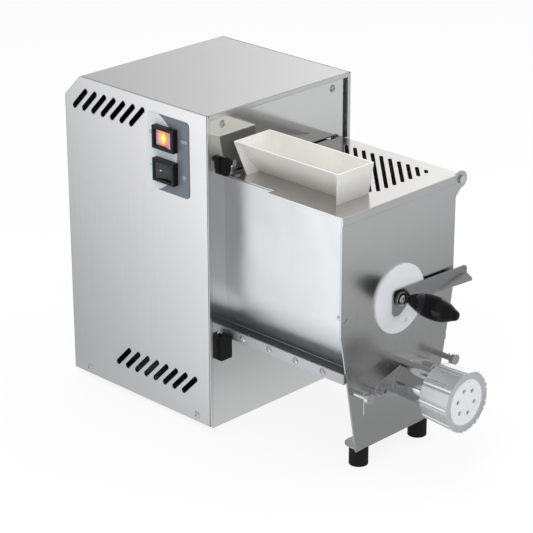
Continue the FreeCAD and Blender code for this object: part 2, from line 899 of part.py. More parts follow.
def case_screws():
    """Dome-headed screws of the side panels, front panel, rails, front plate and tank sensor."""
    screws = []
    rail_face = S.tank_radius + S.rail_sheet / 2
    rail_middle = S.rail_bottom + S.rail_height / 2
    for side in (LEFT, RIGHT):
        outward = (side, 0, 0)
        for y in (S.panel_screw_front, S.panel_screw_rear):
            screws.append(screw((HALF_WIDTH * side, y, S.panel_screw_height), outward))
        for y in rail_screw_points():
            screws.append(screw((rail_face * side, y, rail_middle), outward))
        screws.append(screw((S.front_screw_x * side, PANEL_FRONT, FRONT_SCREW_Z), (0, -1, 0)))
        screws.append(screw((S.plate_screw_x * side, PLATE_FRONT, S.plate_screw_z), (0, -1, 0)))
    x, z = tank_sensor_bolt_point()
    screws.append(screw((x, PANEL_FRONT, z), (0, -1, 0), length=S.sheet))
    return group("case_screws", screws)


# Switches

def label_plate():
    """Thin plate round the switches, with its corners rounded."""
    body = new_body()
    front = S.label_front
    label_bottom = S.cabinet_height - S.label_drop
    slab(
        body, "YZ", -HALF_WIDTH - S.label_thickness, -HALF_WIDTH,
        rectangle(front, front + S.label_width, label_bottom, label_bottom + S.label_height),
    )
    for centre in (UPPER_SWITCH_Z, LOWER_SWITCH_Z):
        recess(body, "YZ", -HALF_WIDTH - S.label_thickness, -HALF_WIDTH, switch_window(centre))
    corners = (front, front + S.label_width)
    round_edges(body, S.label_corner, lambda edge: runs_along(edge, "X") and min(
        abs(edge.Vertexes[0].Y - corner.number) for corner in corners) < 1e-6)
    return finish(body, "switch_label_plate")


LABEL_FACE = -HALF_WIDTH - S.label_thickness
ROCKER_AXIS_X = LABEL_FACE
ROCKER_HALF_LENGTH = S.switch_length / 2 - S.switch_rail - S.rocker_play
ROCKER_HALF_HEIGHT = S.switch_height / 2 - S.switch_rail - S.fit_gap


def switch_frame(label, centre):
    """Hooded frame: a rim on the label plate and a closed box behind the panel."""
    rim = box(
        LABEL_FACE - S.switch_proud, LABEL_FACE,
        S.switch_y - S.switch_length / 2, S.switch_y + S.switch_length / 2,
        centre - S.switch_height / 2, centre + S.switch_height / 2,
    )
    half_length = S.switch_length / 2 - S.switch_rail / 2 - S.running_gap
    half_height = S.switch_height / 2 - S.switch_rail / 2 - S.running_gap
    housing = box(
        LABEL_FACE, LABEL_FACE + S.switch_depth,
        S.switch_y - half_length, S.switch_y + half_length,
        centre - half_height, centre + half_height,
    )
    well = box(
        LABEL_FACE - S.switch_proud, LABEL_FACE + S.switch_depth - S.switch_rail,
        S.switch_y - S.switch_length / 2 + S.switch_rail, S.switch_y + S.switch_length / 2 - S.switch_rail,
        centre - S.switch_height / 2 + S.switch_rail, centre + S.switch_height / 2 - S.switch_rail,
    )
    pin_reach = S.switch_height / 2 - S.switch_rail / 2 - S.running_gap
    pin_hole = rod(
        "Z", ROCKER_AXIS_X, S.switch_y, centre - pin_reach,
        S.rocker_pin_radius + S.running_gap, pin_reach * 2,
    )
    return finish(cut(fuse(rim, housing), well, pin_hole), label)


def rocker(label, centre, tilt):
    """Rocker cap with a shallow V face and its two pivot pins, tipped to one side at rest."""
    body = new_body()
    half = ROCKER_HALF_LENGTH
    slab(body, "XY", -ROCKER_HALF_HEIGHT, ROCKER_HALF_HEIGHT, polygon(
        (-S.rocker_crown, -half),
        (-S.rocker_crown + S.rocker_dip, 0),
        (-S.rocker_crown, half),
        (S.rocker_body, S.rocker_foot),
        (S.rocker_body, -S.rocker_foot),
    ))
    pin_end = ROCKER_HALF_HEIGHT + S.switch_rail / 2
    slab(body, "XY", -pin_end, pin_end, circle(0, 0, S.rocker_pin_radius))
    body.Placement.Rotation = FreeCAD.Rotation(Vector(0, 0, 1), 0)
    bind(body, "Placement.Rotation.Angle", tilt)
    return finish(body, label, (ROCKER_AXIS_X, S.switch_y, centre))


# Power inlet and cooling fan

def power_gland():
    """Cable gland in the back panel, empty because the photograph shows no cord."""
    body = new_body()
    inside = BACK_INSIDE - S.gland_bore
    outside = S.cabinet_depth + S.gland_reach
    turned(
        body,
        (S.gland_bore, inside),
        (S.gland_radius + S.gland_bore, inside),
        (S.gland_radius + S.gland_bore, BACK_INSIDE),
        (S.gland_radius, BACK_INSIDE),
        (S.gland_radius, S.cabinet_depth + S.gland_bore),
        (S.gland_radius - S.sheet, outside),
        (S.gland_bore, outside),
    )
    return finish(body, "power_gland", (S.gland_x, 0, S.gland_z))


FAN_DUCT_RADIUS = S.fan_size / 2 - S.sheet * 2
FAN_FRONT = BACK_INSIDE - S.fan_depth


def cooling_fan_frame():
    """Square fan housing on the back panel, with the rotor's post on four spokes."""
    half = S.fan_size / 2
    block = box(S.fan_x - half, S.fan_x + half, FAN_FRONT, BACK_INSIDE, S.fan_z - half, S.fan_z + half)
    duct = rod("Y", S.fan_x, FAN_FRONT, S.fan_z, FAN_DUCT_RADIUS, S.fan_depth)
    shell = cut(block, duct)
    spoke = S.fan_spoke / 2
    reach = half - S.sheet
    spoke_end = FAN_FRONT + S.fan_spoke
    flat = box(S.fan_x - reach, S.fan_x + reach, FAN_FRONT, spoke_end, S.fan_z - spoke, S.fan_z + spoke)
    tall = box(S.fan_x - spoke, S.fan_x + spoke, FAN_FRONT, spoke_end, S.fan_z - reach, S.fan_z + reach)
    post_radius = S.shaft_radius / 2
    post = rod("Y", S.fan_x, FAN_FRONT, S.fan_z, post_radius, S.fan_depth - S.fan_spoke)
    return finish(fuse(shell, flat, tall, post), "cooling_fan_frame")


def cooling_fan_rotor():
    """Hub on the post, with twisted blades."""
    start = FAN_FRONT + S.fan_spoke + S.gear_side_gap
    end = BACK_INSIDE - S.gear_side_gap
    bore = S.shaft_radius / 2 + S.running_gap
    hub = cut(
        rod("Y", 0, start, 0, S.fan_hub_radius, end - start),
        rod("Y", 0, start, 0, bore, end - start),
    )
    reach = FAN_DUCT_RADIUS - S.fan_tip_gap
    blades = []
    root_inside = S.fan_hub_radius - S.fan_blade_thickness
    for number in range(int(S.fan_blade_count.number)):
        blade = box(
            root_inside, reach,
            -S.fan_blade_thickness / 2, S.fan_blade_thickness / 2,
            -S.fan_hub_radius / 2, S.fan_hub_radius / 2,
        )
        tilt = FreeCAD.Rotation(Vector(1, 0, 0), S.fan_blade_twist.number)
        about = FreeCAD.Rotation(Vector(0, 1, 0), 360 / S.fan_blade_count.number * number)
        carrier = doc.addObject("Part::Compound", "Blade")
        carrier.Links = [blade]
        carrier.Placement = FreeCAD.Placement(Vector(), about.multiply(tilt))
        bind(carrier, "Placement.Base.y", (start + end) / 2)
        blades.append(carrier)
    return finish(fuse(hub, *blades), "cooling_fan_rotor", (S.fan_x, 0, S.fan_z))


# Tank, rails and front plate

def tank_shell():
    """U-shaped tank that narrows into the auger's trough, closed by a wall at the cabinet."""
    trough = S.auger_radius + S.bore_gap
    wall = S.tank_sheet
    reach = S.tank_length + PANEL_FRONT
    outer = fuse(
        box(-S.tank_radius, S.tank_radius, PLATE_BACK, PANEL_FRONT, TANK_CENTRE_Z, S.tank_top),
        rod("Y", 0, PLATE_BACK, TANK_CENTRE_Z, S.tank_radius, reach),
        rod("Y", 0, PLATE_BACK, S.auger_z, trough + wall, reach),
    )
    inside = S.tank_radius - wall
    inner = fuse(
        box(-inside, inside, PLATE_BACK, PANEL_FRONT - wall, TANK_CENTRE_Z, S.tank_top),
        rod("Y", 0, PLATE_BACK, TANK_CENTRE_Z, inside, reach - wall),
        rod("Y", 0, PLATE_BACK, S.auger_z, trough, reach - wall),
    )
    holes = [rod("Y", 0, PANEL_FRONT - wall, z, SHAFT_BORE, wall) for z in (S.auger_z, MIXER_Z)]
    lug_top = S.tank_top - S.plate_hem * 2
    lugs = []
    for side in (LEFT, RIGHT):
        ends = (S.tank_radius * side, (S.tank_radius + S.tank_lug) * side)
        low, high = ends[::-1] if side == LEFT else ends
        lugs.append(box(low, high, PLATE_BACK, PLATE_BACK + wall, TANK_CENTRE_Z, lug_top))
        holes.append(rod("Y", S.plate_screw_x * side, PLATE_BACK, S.plate_screw_z, SCREW_HOLE, wall))
    return finish(cut(fuse(cut(outer, inner), *lugs), *holes), "tank_shell")


def rail_screw_points():
    count = int(S.rail_screw_count.number)
    return [-S.rail_screw_first - S.rail_screw_pitch * number for number in range(count)]


def tank_rails():
    """Angle rails from the cabinet to the front plate, one at each side of the tank's belly."""
    rails = []
    for side in (LEFT, RIGHT):
        body = new_body()
        outside = (S.tank_radius + S.rail_sheet / 2) * side
        inside = (S.tank_radius - S.rail_sheet / 2) * side
        low, high = (outside, inside) if side == LEFT else (inside, outside)
        top = S.rail_bottom + S.rail_height
        shelf_top = S.rail_bottom + S.rail_sheet
        drop = TANK_CENTRE_Z - shelf_top
        belly = (root(S.tank_radius * S.tank_radius - drop * drop) + S.fit_gap) * side
        middle = S.rail_bottom + S.rail_height / 2
        slab(
            body, "YZ", low, high,
            rectangle(PLATE_BACK, PANEL_FRONT, S.rail_bottom, top),
            *[circle(y, middle, SCREW_HOLE) for y in rail_screw_points()],
        )
        slab(body, "XY", S.rail_bottom, shelf_top, rectangle(inside, belly, PLATE_BACK, PANEL_FRONT))
        rails.append(body)
    return group("tank_rails", rails)


def flange_bolt_points():
    return [(S.flange_ear_x * side, S.auger_z) for side in (LEFT, RIGHT)]


def front_plate():
    """Tapered plate with a hem, the hinge ear and the flange that stands on the feet."""
    body = new_body()
    ear_low = S.hinge_z - S.hinge_ear_radius
    ear_high = S.hinge_z + S.hinge_ear_radius
    slab(body, "XZ", PLATE_FRONT, PLATE_BACK, polygon(
        (-S.plate_bottom_half_width, S.plate_bottom_z),
        (S.plate_bottom_half_width, S.plate_bottom_z),
        (S.plate_half_width, S.plate_shoulder_z),
        (S.plate_half_width, ear_low - S.plate_hem),
        (S.hinge_x, ear_low),
        (S.hinge_x, ear_high),
        (S.lid_front_right, S.tank_top),
        (-S.plate_half_width, S.tank_top),
        (-S.plate_half_width, S.plate_shoulder_z),
    ))
    slab(body, "XZ", PLATE_FRONT, PLATE_BACK, circle(S.hinge_x, S.hinge_z, S.hinge_ear_radius))
    slab(body, "XZ", PLATE_FRONT - S.plate_hem_sheet, PLATE_FRONT, rectangle(
        -S.plate_half_width, S.lid_front_right - S.plate_hem_sheet, S.tank_top - S.plate_hem, S.tank_top,
    ))
    slab(body, "XY", S.plate_bottom_z, S.plate_bottom_z + S.plate_sheet, rectangle(
        -S.plate_flange_half_width, S.plate_flange_half_width,
        PLATE_BACK, PLATE_FRONT + S.plate_flange_depth,
    ))
    recess(
        body, "XZ", PLATE_FRONT, PLATE_BACK,
        circle(0, S.auger_z, S.auger_radius + S.bore_gap),
        circle(0, MIXER_Z, S.mixer_spigot_radius + S.running_gap),
        circle(S.hinge_x, S.hinge_z, S.hinge_pin_radius + S.running_gap),
        circle(-S.plate_screw_x, S.plate_screw_z, SCREW_HOLE),
        circle(S.plate_screw_x, S.plate_screw_z, SCREW_HOLE),
        circle(-S.cutter_stud_x, S.cutter_stud_z, SCREW_HOLE),
        circle(S.cutter_stud_x, S.cutter_stud_z, SCREW_HOLE),
        *[circle(x, z, S.flange_bolt_radius + S.running_gap) for x, z in flange_bolt_points()],
    )
    recess(
        body, "XY", S.plate_bottom_z, S.plate_bottom_z + S.plate_sheet,
        *[circle(x, y, S.foot_bolt_radius + S.running_gap) for x, y in front_foot_points()],
    )
    rear_edge = PLATE_FRONT + S.plate_flange_depth
    round_edges(body, S.plate_flange_corner, lambda edge: runs_along(edge, "Z")
                and abs(edge.Vertexes[0].Y - rear_edge.number) < 1e-6)
    return finish(body, "front_plate")


def front_foot_points():
    return [(S.front_foot_x * side, -S.front_foot_y) for side in (LEFT, RIGHT)]


# Lid, hinge and feed tray

LID_BOTTOM = S.tank_top + S.lid_rest_gap
LID_TOP = LID_BOTTOM + S.lid_sheet
TAB_FRONT = PLATE_BACK + S.fit_gap
BRACKET_FRONT = PANEL_FRONT - S.bracket_sheet - S.bracket_reach


def lid():
    """Lid sheet with diagonal slots, the tray's opening and two hinge tabs."""
    body = new_body()
    front = -S.lid_front
    back = -S.lid_back_gap
    ear_side = S.lid_front_right - S.fit_gap
    slab(body, "XY", LID_BOTTOM, LID_TOP, polygon(
        (-S.lid_left, front),
        (ear_side, front),
        (ear_side, TAB_FRONT),
        (S.lid_right, TAB_FRONT),
        (S.lid_right, back),
        (-S.lid_notch_x, back),
        (-S.lid_notch_x, -S.lid_notch_y),
        (-S.lid_left, -S.lid_notch_y),
    ))
    tab_starts = (TAB_FRONT, BRACKET_FRONT - S.fit_gap - S.lid_sheet)
    for start in tab_starts:
        end = start + S.lid_sheet
        slab(body, "XZ", start, end, rectangle(
            S.hinge_x - S.lid_tab_radius, S.lid_right, S.hinge_z, LID_BOTTOM,
        ))
        slab(body, "XZ", start, end, circle(S.hinge_x, S.hinge_z, S.lid_tab_radius))
        recess(body, "XZ", start, end, circle(S.hinge_x, S.hinge_z, S.hinge_pin_radius + S.running_gap))
    inset = S.tray_spigot_inset - S.fit_gap
    recess(body, "XY", LID_BOTTOM, LID_TOP, rectangle(
        -S.tray_left + inset, -S.tray_right - inset, -S.tray_front + inset, -S.tray_back - inset,
    ))
    lid_slots(body)
    return finish(body, "lid")


def lid_slots(body):
    """Parallel slots at 45 degrees, each as long as the tray or the lid's front margin allows."""
    for number in range(int(S.lid_slot_count.number)):
        start_y = -S.lid_slot_first - S.lid_slot_pitch * number
        to_front = S.lid_slot_front + start_y
        to_tray = S.lid_slot_x + S.lid_slot_left
        drop = to_front if to_front.number < to_tray.number else to_tray
        length = drop * math.sqrt(2)
        recess(body, "XY", LID_BOTTOM, LID_TOP, slot(
            S.lid_slot_x - drop / 2, start_y - drop / 2, length, S.lid_slot_width, 45,
        ))


def hinge_bracket():
    """Bent bracket on the front panel that carries the lid's rear hinge pin."""
    body = new_body()
    half = S.bracket_half_width
    low = S.hinge_z - half
    left = S.hinge_x - half
    right = S.hinge_x + half
    foot_front = PANEL_FRONT - S.bracket_sheet
    ear_back = BRACKET_FRONT + S.bracket_sheet
    slab(body, "XZ", foot_front, PANEL_FRONT, rectangle(left, right, low, S.hinge_z))
    slab(body, "XZ", foot_front, PANEL_FRONT, circle(S.hinge_x, S.hinge_z, half))
    slab(body, "XY", low, low + S.bracket_sheet, rectangle(left, right, BRACKET_FRONT, foot_front))
    slab(body, "XZ", BRACKET_FRONT, ear_back, rectangle(left, right, low, S.hinge_z))
    slab(body, "XZ", BRACKET_FRONT, ear_back, circle(S.hinge_x, S.hinge_z, half))
    recess(body, "XZ", BRACKET_FRONT, ear_back, circle(
        S.hinge_x, S.hinge_z, S.hinge_pin_radius + S.running_gap,
    ))
    return finish(body, "lid_hinge_bracket")


def hinge_pins():
    """Headed pins: the front one in the plate's ear, the rear one in the bracket."""
    head = S.screw_head_height
    front = fuse(
        rod("Y", S.hinge_x, PLATE_FRONT - head, S.hinge_z, S.hinge_pin_head, head),
        rod("Y", S.hinge_x, PLATE_FRONT, S.hinge_z, S.hinge_pin_radius,
            TAB_FRONT + S.lid_sheet * 2 - PLATE_FRONT),
    )
    ear_back = BRACKET_FRONT + S.bracket_sheet
    pin_start = BRACKET_FRONT - S.fit_gap - S.lid_sheet * 2
    rear = fuse(
        rod("Y", S.hinge_x, ear_back, S.hinge_z, S.hinge_pin_head, head),
        rod("Y", S.hinge_x, pin_start, S.hinge_z, S.hinge_pin_radius, ear_back - pin_start),
    )
    return group("hinge_pins", [front, rear])


def feed_tray():
    """Flared tray with a slotted floor over the lid's opening, and end walls wider than its floor."""
    top = LID_TOP + S.tray_height
    outer = [
        (-S.tray_left, -S.tray_front, -S.tray_right, -S.tray_back, LID_TOP),
        (-S.tray_left - S.tray_flare_side, -S.tray_front - S.tray_flare_front,
         -S.tray_right - S.tray_flare_right, -S.tray_back + S.tray_flare_back, top),
    ]
    wall = S.tray_wall
    floor_top = LID_TOP + S.tray_floor
    share = S.tray_floor / S.tray_height
    inner = []
    for level, height in ((share, floor_top), (as_value(1), top)):
        corners = []
        for index, inset in enumerate((wall, wall, -wall, -wall)):
            corners.append(outer[0][index] + (outer[1][index] - outer[0][index]) * level + inset)
        inner.append((*corners, height))
    tray = frustum(outer).cut(frustum(inner))
    (_, foot_front, foot_right, foot_back, _), (rim_left, rim_front, rim_right, rim_back, _) = outer
    foot_left = -S.tray_end_foot
    for foot_y, rim_y in ((foot_front, rim_front), (foot_back - wall, rim_back - wall)):
        tray = tray.fuse(frustum([
            (foot_left, foot_y, foot_right, foot_y + wall, LID_TOP),
            (rim_left, rim_y, rim_right, rim_y + wall, top),
        ]))
    inset = S.tray_spigot_inset.number
    depth = S.tray_spigot.number
    spigot = Part.makeBox(
        (S.tray_left - S.tray_right).number - inset * 2,
        (S.tray_front - S.tray_back).number - inset * 2,
        depth,
        Vector(-S.tray_left.number + inset, -S.tray_front.number + inset, LID_TOP.number - depth),
    )
    tray = tray.fuse(spigot)
    middle_x = -(S.tray_left + S.tray_right).number / 2
    middle_y = -(S.tray_front + S.tray_back).number / 2
    slot_length = (S.tray_left - S.tray_right - S.tray_slot_inset * 2).number
    slot_start = LID_TOP.number - depth - wall.number
    slot_depth = (S.tray_spigot + S.tray_floor + wall * 2).number
    for number in range(int(S.tray_slot_count.number)):
        step = number - (S.tray_slot_count.number - 1) / 2
        tray = tray.cut(Part.makeBox(
            slot_length, S.tray_slot_width.number, slot_depth,
            Vector(middle_x - slot_length / 2,
                   middle_y + step * S.tray_slot_pitch.number - S.tray_slot_width.number / 2,
                   slot_start),
        ))
    return shaped("feed_tray", tray.removeSplitter())


def frustum(levels):
    """Solid between two level rectangles, each given as left, front, right, back and height."""
    wires = []
    for left, front, right, back, height in levels:
        x0, y0, x1, y1, z = [item.number for item in (left, front, right, back, height)]
        corners = [Vector(x0, y0, z), Vector(x1, y0, z), Vector(x1, y1, z), Vector(x0, y1, z)]
        wires.append(Part.makePolygon(corners + corners[:1]))
    return Part.makeLoft(wires, True, True)


def lid_sensor():
    """Hooked magnetic switch on the front panel, beside the lid's notched corner."""
    half = S.lid_sensor_width / 2
    left = -S.lid_sensor_x - half
    right = -S.lid_sensor_x + half
    front = -S.lid_sensor_depth
    top = S.lid_sensor_bottom + S.lid_sensor_height
    arm = S.lid_sensor_height / 3
    return finish(fuse(
        box(left, right, front / 2, PANEL_FRONT, S.lid_sensor_bottom, top),
        box(left, right, front, front / 2, top - arm, top),
    ), "lid_sensor")


def lid_key():
    """Small angle on the lid that faces the sensor, with its round-headed screw."""
    left = -S.lid_key_x - S.lid_key_width / 2
    right = -S.lid_key_x + S.lid_key_width / 2
    back = -S.fit_gap - S.lid_back_gap
    front = back - S.bracket_sheet
    upright = box(left, right, front, back, LID_TOP, LID_TOP + S.lid_key_height)
    foot = box(left, right, back - S.lid_key_width, front, LID_TOP, LID_TOP + S.bracket_sheet)
    screw_z = LID_TOP + S.lid_key_height - S.screw_head_radius
    hole = rod("Y", -S.lid_key_x, front, screw_z, SCREW_HOLE, S.bracket_sheet)
    holder = screw((-S.lid_key_x, front, screw_z), (0, -1, 0), length=S.bracket_sheet)
    return group("lid_sensor_key", [cut(fuse(upright, foot), hole), holder])


def tank_sensor():
    """Black switch body on the front panel beside the tank, with its bolt above."""
    left = TANK_SENSOR_LEFT
    right = left + S.tank_sensor_width
    front = PANEL_FRONT - S.tank_sensor_proud
    top = S.tank_sensor_bottom + S.tank_sensor_height
    return finish(box(left, right, front, PANEL_FRONT, S.tank_sensor_bottom, top), "tank_sensor")


def tank_sensor_bolt_point():
    middle = TANK_SENSOR_LEFT + S.tank_sensor_width / 2
    return middle, S.tank_sensor_bottom + S.tank_sensor_height + S.screw_head_radius


# Barrel, ring nut and die

BARREL_BORE = S.auger_radius + S.bore_gap
DIE_BACK = -S.barrel_head_front
DIE_SHOULDER = DIE_BACK - S.die_flange_depth
NUT_BORE = S.barrel_head_radius + S.running_gap


def barrel():
    """Extrusion barrel: two-eared flange, tube and threaded head, bored for the auger."""
    body = new_body()
    turned(
        body,
        (BARREL_BORE, PLATE_FRONT),
        (S.barrel_radius, PLATE_FRONT),
        (S.barrel_radius, -S.barrel_head_back),
        (S.barrel_head_radius, -S.barrel_head_back),
        (S.barrel_head_radius, DIE_BACK),
        (BARREL_BORE, DIE_BACK),
    )
    start = PLATE_FRONT - S.flange_thickness
    slope = math.acos((S.barrel_radius - S.flange_ear_radius).number / S.flange_ear_x.number)
    # The flange's straight sides touch the tube and the ears where their normals lie at this slope
    touch = Value(math.degrees(slope), "acos((%s - %s) / %s)" % (
        S.barrel_radius.text, S.flange_ear_radius.text, S.flange_ear_x.text))
    for side in (LEFT, RIGHT):
        hub_u = S.barrel_radius * cosine(touch) * side
        hub_v = S.barrel_radius * sine(touch)
        ear_u = (S.flange_ear_x + S.flange_ear_radius * cosine(touch)) * side
        ear_v = S.flange_ear_radius * sine(touch)
        slab(body, "XZ", start, PLATE_FRONT, polygon(
            (hub_u, hub_v), (ear_u, ear_v), (ear_u, -ear_v), (hub_u, -hub_v),
        ))
        slab(body, "XZ", start, PLATE_FRONT, circle(S.flange_ear_x * side, 0, S.flange_ear_radius))
    recess(
        body, "XZ", start, PLATE_FRONT,
        circle(-S.flange_ear_x, 0, S.flange_bolt_radius + S.running_gap),
        circle(S.flange_ear_x, 0, S.flange_bolt_radius + S.running_gap),
    )
    recess(body, "XZ", start, PLATE_FRONT, circle(0, 0, BARREL_BORE))
    return finish(body, "barrel", (0, 0, S.auger_z))


def barrel_bolts():
    """Socket-head bolts through the flange's ears, with nuts behind the plate."""
    bolts = []
    reach = S.flange_thickness + S.plate_sheet
    for x, z in flange_bolt_points():
        face = PLATE_FRONT - S.flange_thickness
        head_end = face - S.flange_bolt_head_height
        shank = rod("Y", x, face, z, S.flange_bolt_radius, reach + S.flange_bolt_radius * 2)
        head = rod("Y", x, head_end, z, S.flange_bolt_head, S.flange_bolt_head_height)
        socket = doc.addObject("Part::Prism", "Socket")
        socket.Polygon = 6
        bind(socket, "Circumradius", S.flange_bolt_head / 2)
        bind(socket, "Height", S.flange_bolt_head_height / 2)
        socket.Placement.Rotation = FreeCAD.Rotation(Vector(1, 0, 0), -90)
        put(socket, x, head_end, z)
        nut = doc.addObject("Part::Prism", "Nut")
        nut.Polygon = 6
        bind(nut, "Circumradius", S.flange_nut_radius)
        bind(nut, "Height", S.flange_nut_height)
        nut.Placement.Rotation = FreeCAD.Rotation(Vector(1, 0, 0), -90)
        put(nut, x, PLATE_BACK, z)
        bolts.append(fuse(cut(head, socket), shank, nut))
    return group("barrel_bolts", bolts)


def nut_outline(radius, station):
    """Closed outline of the ring nut: wide flat lands with a groove and a narrow rib between them."""
    count = int(S.nut_rib_count.number)
    pitch = math.radians(360 / count)
    half_rib = math.radians(S.nut_rib_half_angle.number)
    shoulder = math.radians(S.nut_shoulder_angle.number)
    groove = radius - S.nut_groove.number
    land_reach = radius - S.nut_land_drop.number
    edges = []
    last = None
    first = None
    for number in range(count):
        base = math.radians(S.nut_rib_phase.number) + pitch * number

        def at(angle, reach):
            turn = base + angle
            return Vector(math.cos(turn) * reach, station, math.sin(turn) * reach)

        rib = (at(-half_rib, groove), at(0, radius), at(half_rib, groove))
        land = (at(shoulder, land_reach), at(pitch - shoulder, land_reach))
        if last is not None:
            edges.append(Part.LineSegment(last, rib[0]).toShape())
        first = first or rib[0]
        edges.append(Part.Arc(*rib).toShape())
        edges.append(Part.LineSegment(rib[2], land[0]).toShape())
        edges.append(Part.LineSegment(*land).toShape())
        last = land[1]
    edges.append(Part.LineSegment(last, first).toShape())
    return Part.Wire(edges)


def ring_nut():
    """Ring nut that widens towards the front, bored to run on the barrel's head."""
    back = -S.nut_back.number
    front = -S.nut_front.number
    body = Part.makeLoft([
        nut_outline(S.nut_back_radius.number, back),
        nut_outline(S.nut_front_radius.number, front),
    ], True, True)
    lip = front + S.nut_lip.number
    bore = Part.makeCylinder(NUT_BORE.number, back - lip, Vector(0, lip, 0), Vector(0, 1, 0))
    window_radius = (S.die_face_radius + S.running_gap).number
    window = Part.makeCylinder(window_radius, -front, Vector(0, front, 0), Vector(0, 1, 0))
    return shaped("ring_nut", body.cut(bore.fuse(window)), (0, 0, S.auger_z))


def die_disc():
    """Plastic die with a ring of holes, held against the barrel by the nut's lip."""
    body = new_body()
    lip = -S.nut_front + S.nut_lip
    face = -S.nut_front + S.sheet / 2
    turned(
        body,
        (0, DIE_BACK),
        (S.barrel_head_radius, DIE_BACK),
        (S.barrel_head_radius, lip),
        (S.die_face_radius, lip),
        (S.die_face_radius, face),
        (0, face),
    )
    hole = recess(body, "XZ", face, DIE_BACK, circle(
        S.die_hole_circle * cosine(S.die_hole_phase),
        S.die_hole_circle * sine(S.die_hole_phase),
        S.die_hole_radius,
    ))
    repeat_round(body, hole, "Y", S.die_hole_count)
    return finish(body, "die_disc", (0, 0, S.auger_z))


def cutter_studs():
    """Studs for the pasta cutter, each a rod and cap with a straight pin hanging through it."""
    pieces = []
    cap_back = PLATE_FRONT - S.cutter_stud_length
    pin_y = cap_back + S.cutter_pin_place
    z = S.cutter_stud_z
    for side in (LEFT, RIGHT):
        x = S.cutter_stud_x * side
        bar = rod("Y", x, cap_back, z, S.cutter_stud_radius, S.cutter_stud_length)
        cap = rod("Y", x, cap_back - S.cutter_cap_length, z, S.cutter_cap_radius, S.cutter_cap_length)
        tail = rod("Y", x, PLATE_FRONT, z, S.screw_radius, S.plate_sheet)
        nut = rod("Y", x, PLATE_BACK, z, S.screw_head_radius, S.screw_head_height)
        pin_bore = rod(
            "Z", x, pin_y, z - S.cutter_stud_radius * 2,
            S.cutter_pin_radius + S.running_gap, S.cutter_stud_radius * 4,
        )
        pieces.append(cut(fuse(bar, cap, tail, nut), pin_bore))
        pieces.append(rod(
            "Z", x, pin_y, z - S.cutter_pin_below,
            S.cutter_pin_radius, S.cutter_pin_below + S.cutter_pin_above,
        ))
    return group("cutter_studs", pieces)


# Front bearing, locking lever and handle

DISC_FRONT = PLATE_FRONT - S.mixer_disc_thickness
LEVER_FRONT = DISC_FRONT - S.lever_sheet


def front_bearing():
    """White bearing disc with a spigot through the plate that carries the mixer shaft's end."""
    body = new_body()
    spigot_end = PLATE_FRONT + S.mixer_spigot_depth
    turned(
        body,
        (0, DISC_FRONT),
        (S.mixer_disc_radius, DISC_FRONT),
        (S.mixer_disc_radius, PLATE_FRONT),
        (S.mixer_spigot_radius, PLATE_FRONT),
        (S.mixer_spigot_radius, spigot_end),
        (SHAFT_BORE, spigot_end),
        (SHAFT_BORE, PLATE_FRONT + S.mixer_disc_thickness),
        (0, PLATE_FRONT + S.mixer_disc_thickness),
    )
    recess(body, "XZ", DISC_FRONT, PLATE_FRONT, circle(0, 0, SCREW_HOLE))
    return finish(body, "front_bearing_disc", (0, 0, MIXER_Z))


def blunted(plate, corners, radius):
    """Round the edges across a plate's thickness that start at the given corners."""
    thickness = S.lever_sheet.number
    chosen = []
    for edge in plate.Edges:
        ends = [vertex.Point for vertex in edge.Vertexes]
        if abs(edge.Length - thickness) < 1e-6 and any(
                (end - corner).Length < 1e-6 for end in ends for corner in corners):
            chosen.append(edge)
    return plate.makeFillet(radius, chosen)


def lever_plate():
    """Sheet lever on the bearing disc, with a wing folded out from its lower edge."""
    front = LEVER_FRONT.number
    thickness = S.lever_sheet.number
    tail = S.lever_tail.number
    drop = S.lever_tail_drop.number
    reach = S.lever_reach.number
    fold_start = Vector(S.lever_fold_start.number, front, -S.lever_fold_start_z.number)
    fold_end = Vector(reach, front, -S.lever_fold_end_z.number)
    rounded = [
        Vector(-tail, front, -drop),
        Vector(S.lever_tail_width.number - tail, front, -drop),
        Vector(reach, front, S.lever_tip_top.number),
        Vector(-tail, front, S.lever_top.number),
    ]
    outline = [
        *rounded[:2],
        Vector(S.lever_waist_x.number, front, -S.lever_waist_drop.number),
        fold_start,
        fold_end,
        *rounded[2:],
    ]
    blade = Part.Face(Part.makePolygon(outline + outline[:1])).extrude(Vector(0, thickness, 0))
    blade = blunted(blade, rounded, S.lever_corner.number)
    hub_bore = Part.makeCylinder(
        (S.screw_radius + S.running_gap).number, thickness, Vector(0, front, 0), Vector(0, 1, 0))
    spindle_bore = Part.makeCylinder(
        S.screw_radius.number, thickness,
        Vector(S.handle_x.number, front, (S.handle_z - MIXER_Z).number), Vector(0, 1, 0))
    point = fold_end + Vector(-thickness, -S.lever_flap_reach.number, -S.lever_flap_drop.number)
    root_start = fold_start + Vector(0, thickness, 0)
    root_end = fold_end + Vector(0, thickness, 0)
    across = (root_end - root_start).cross(point - root_end).normalize()
    if across.z < 0:
        across = across * -1
    wing = Part.Face(Part.makePolygon([root_start, root_end, point, root_start])).extrude(across * thickness)
    wing = blunted(wing, [point], S.lever_flap_corner.number)
    return shaped("lever_plate", blade.cut(hub_bore).cut(spindle_bore).fuse(wing), (0, 0, MIXER_Z))


def lever_hub():
    """Washer and screw that fix the lever to the bearing disc."""
    start = LEVER_FRONT - S.lever_hub_thickness
    washer = cut(
        rod("Y", 0, start, MIXER_Z, S.lever_hub_radius, S.lever_hub_thickness),
        rod("Y", 0, start, MIXER_Z, SCREW_HOLE, S.lever_hub_thickness),
    )
    length = S.lever_hub_thickness + S.lever_sheet + S.mixer_disc_thickness
    return group("lever_screw", [washer, screw((0, start, MIXER_Z), (0, -1, 0), length=length)])


HANDLE_BACK = -S.handle_start
HANDLE_FRONT = -S.handle_end
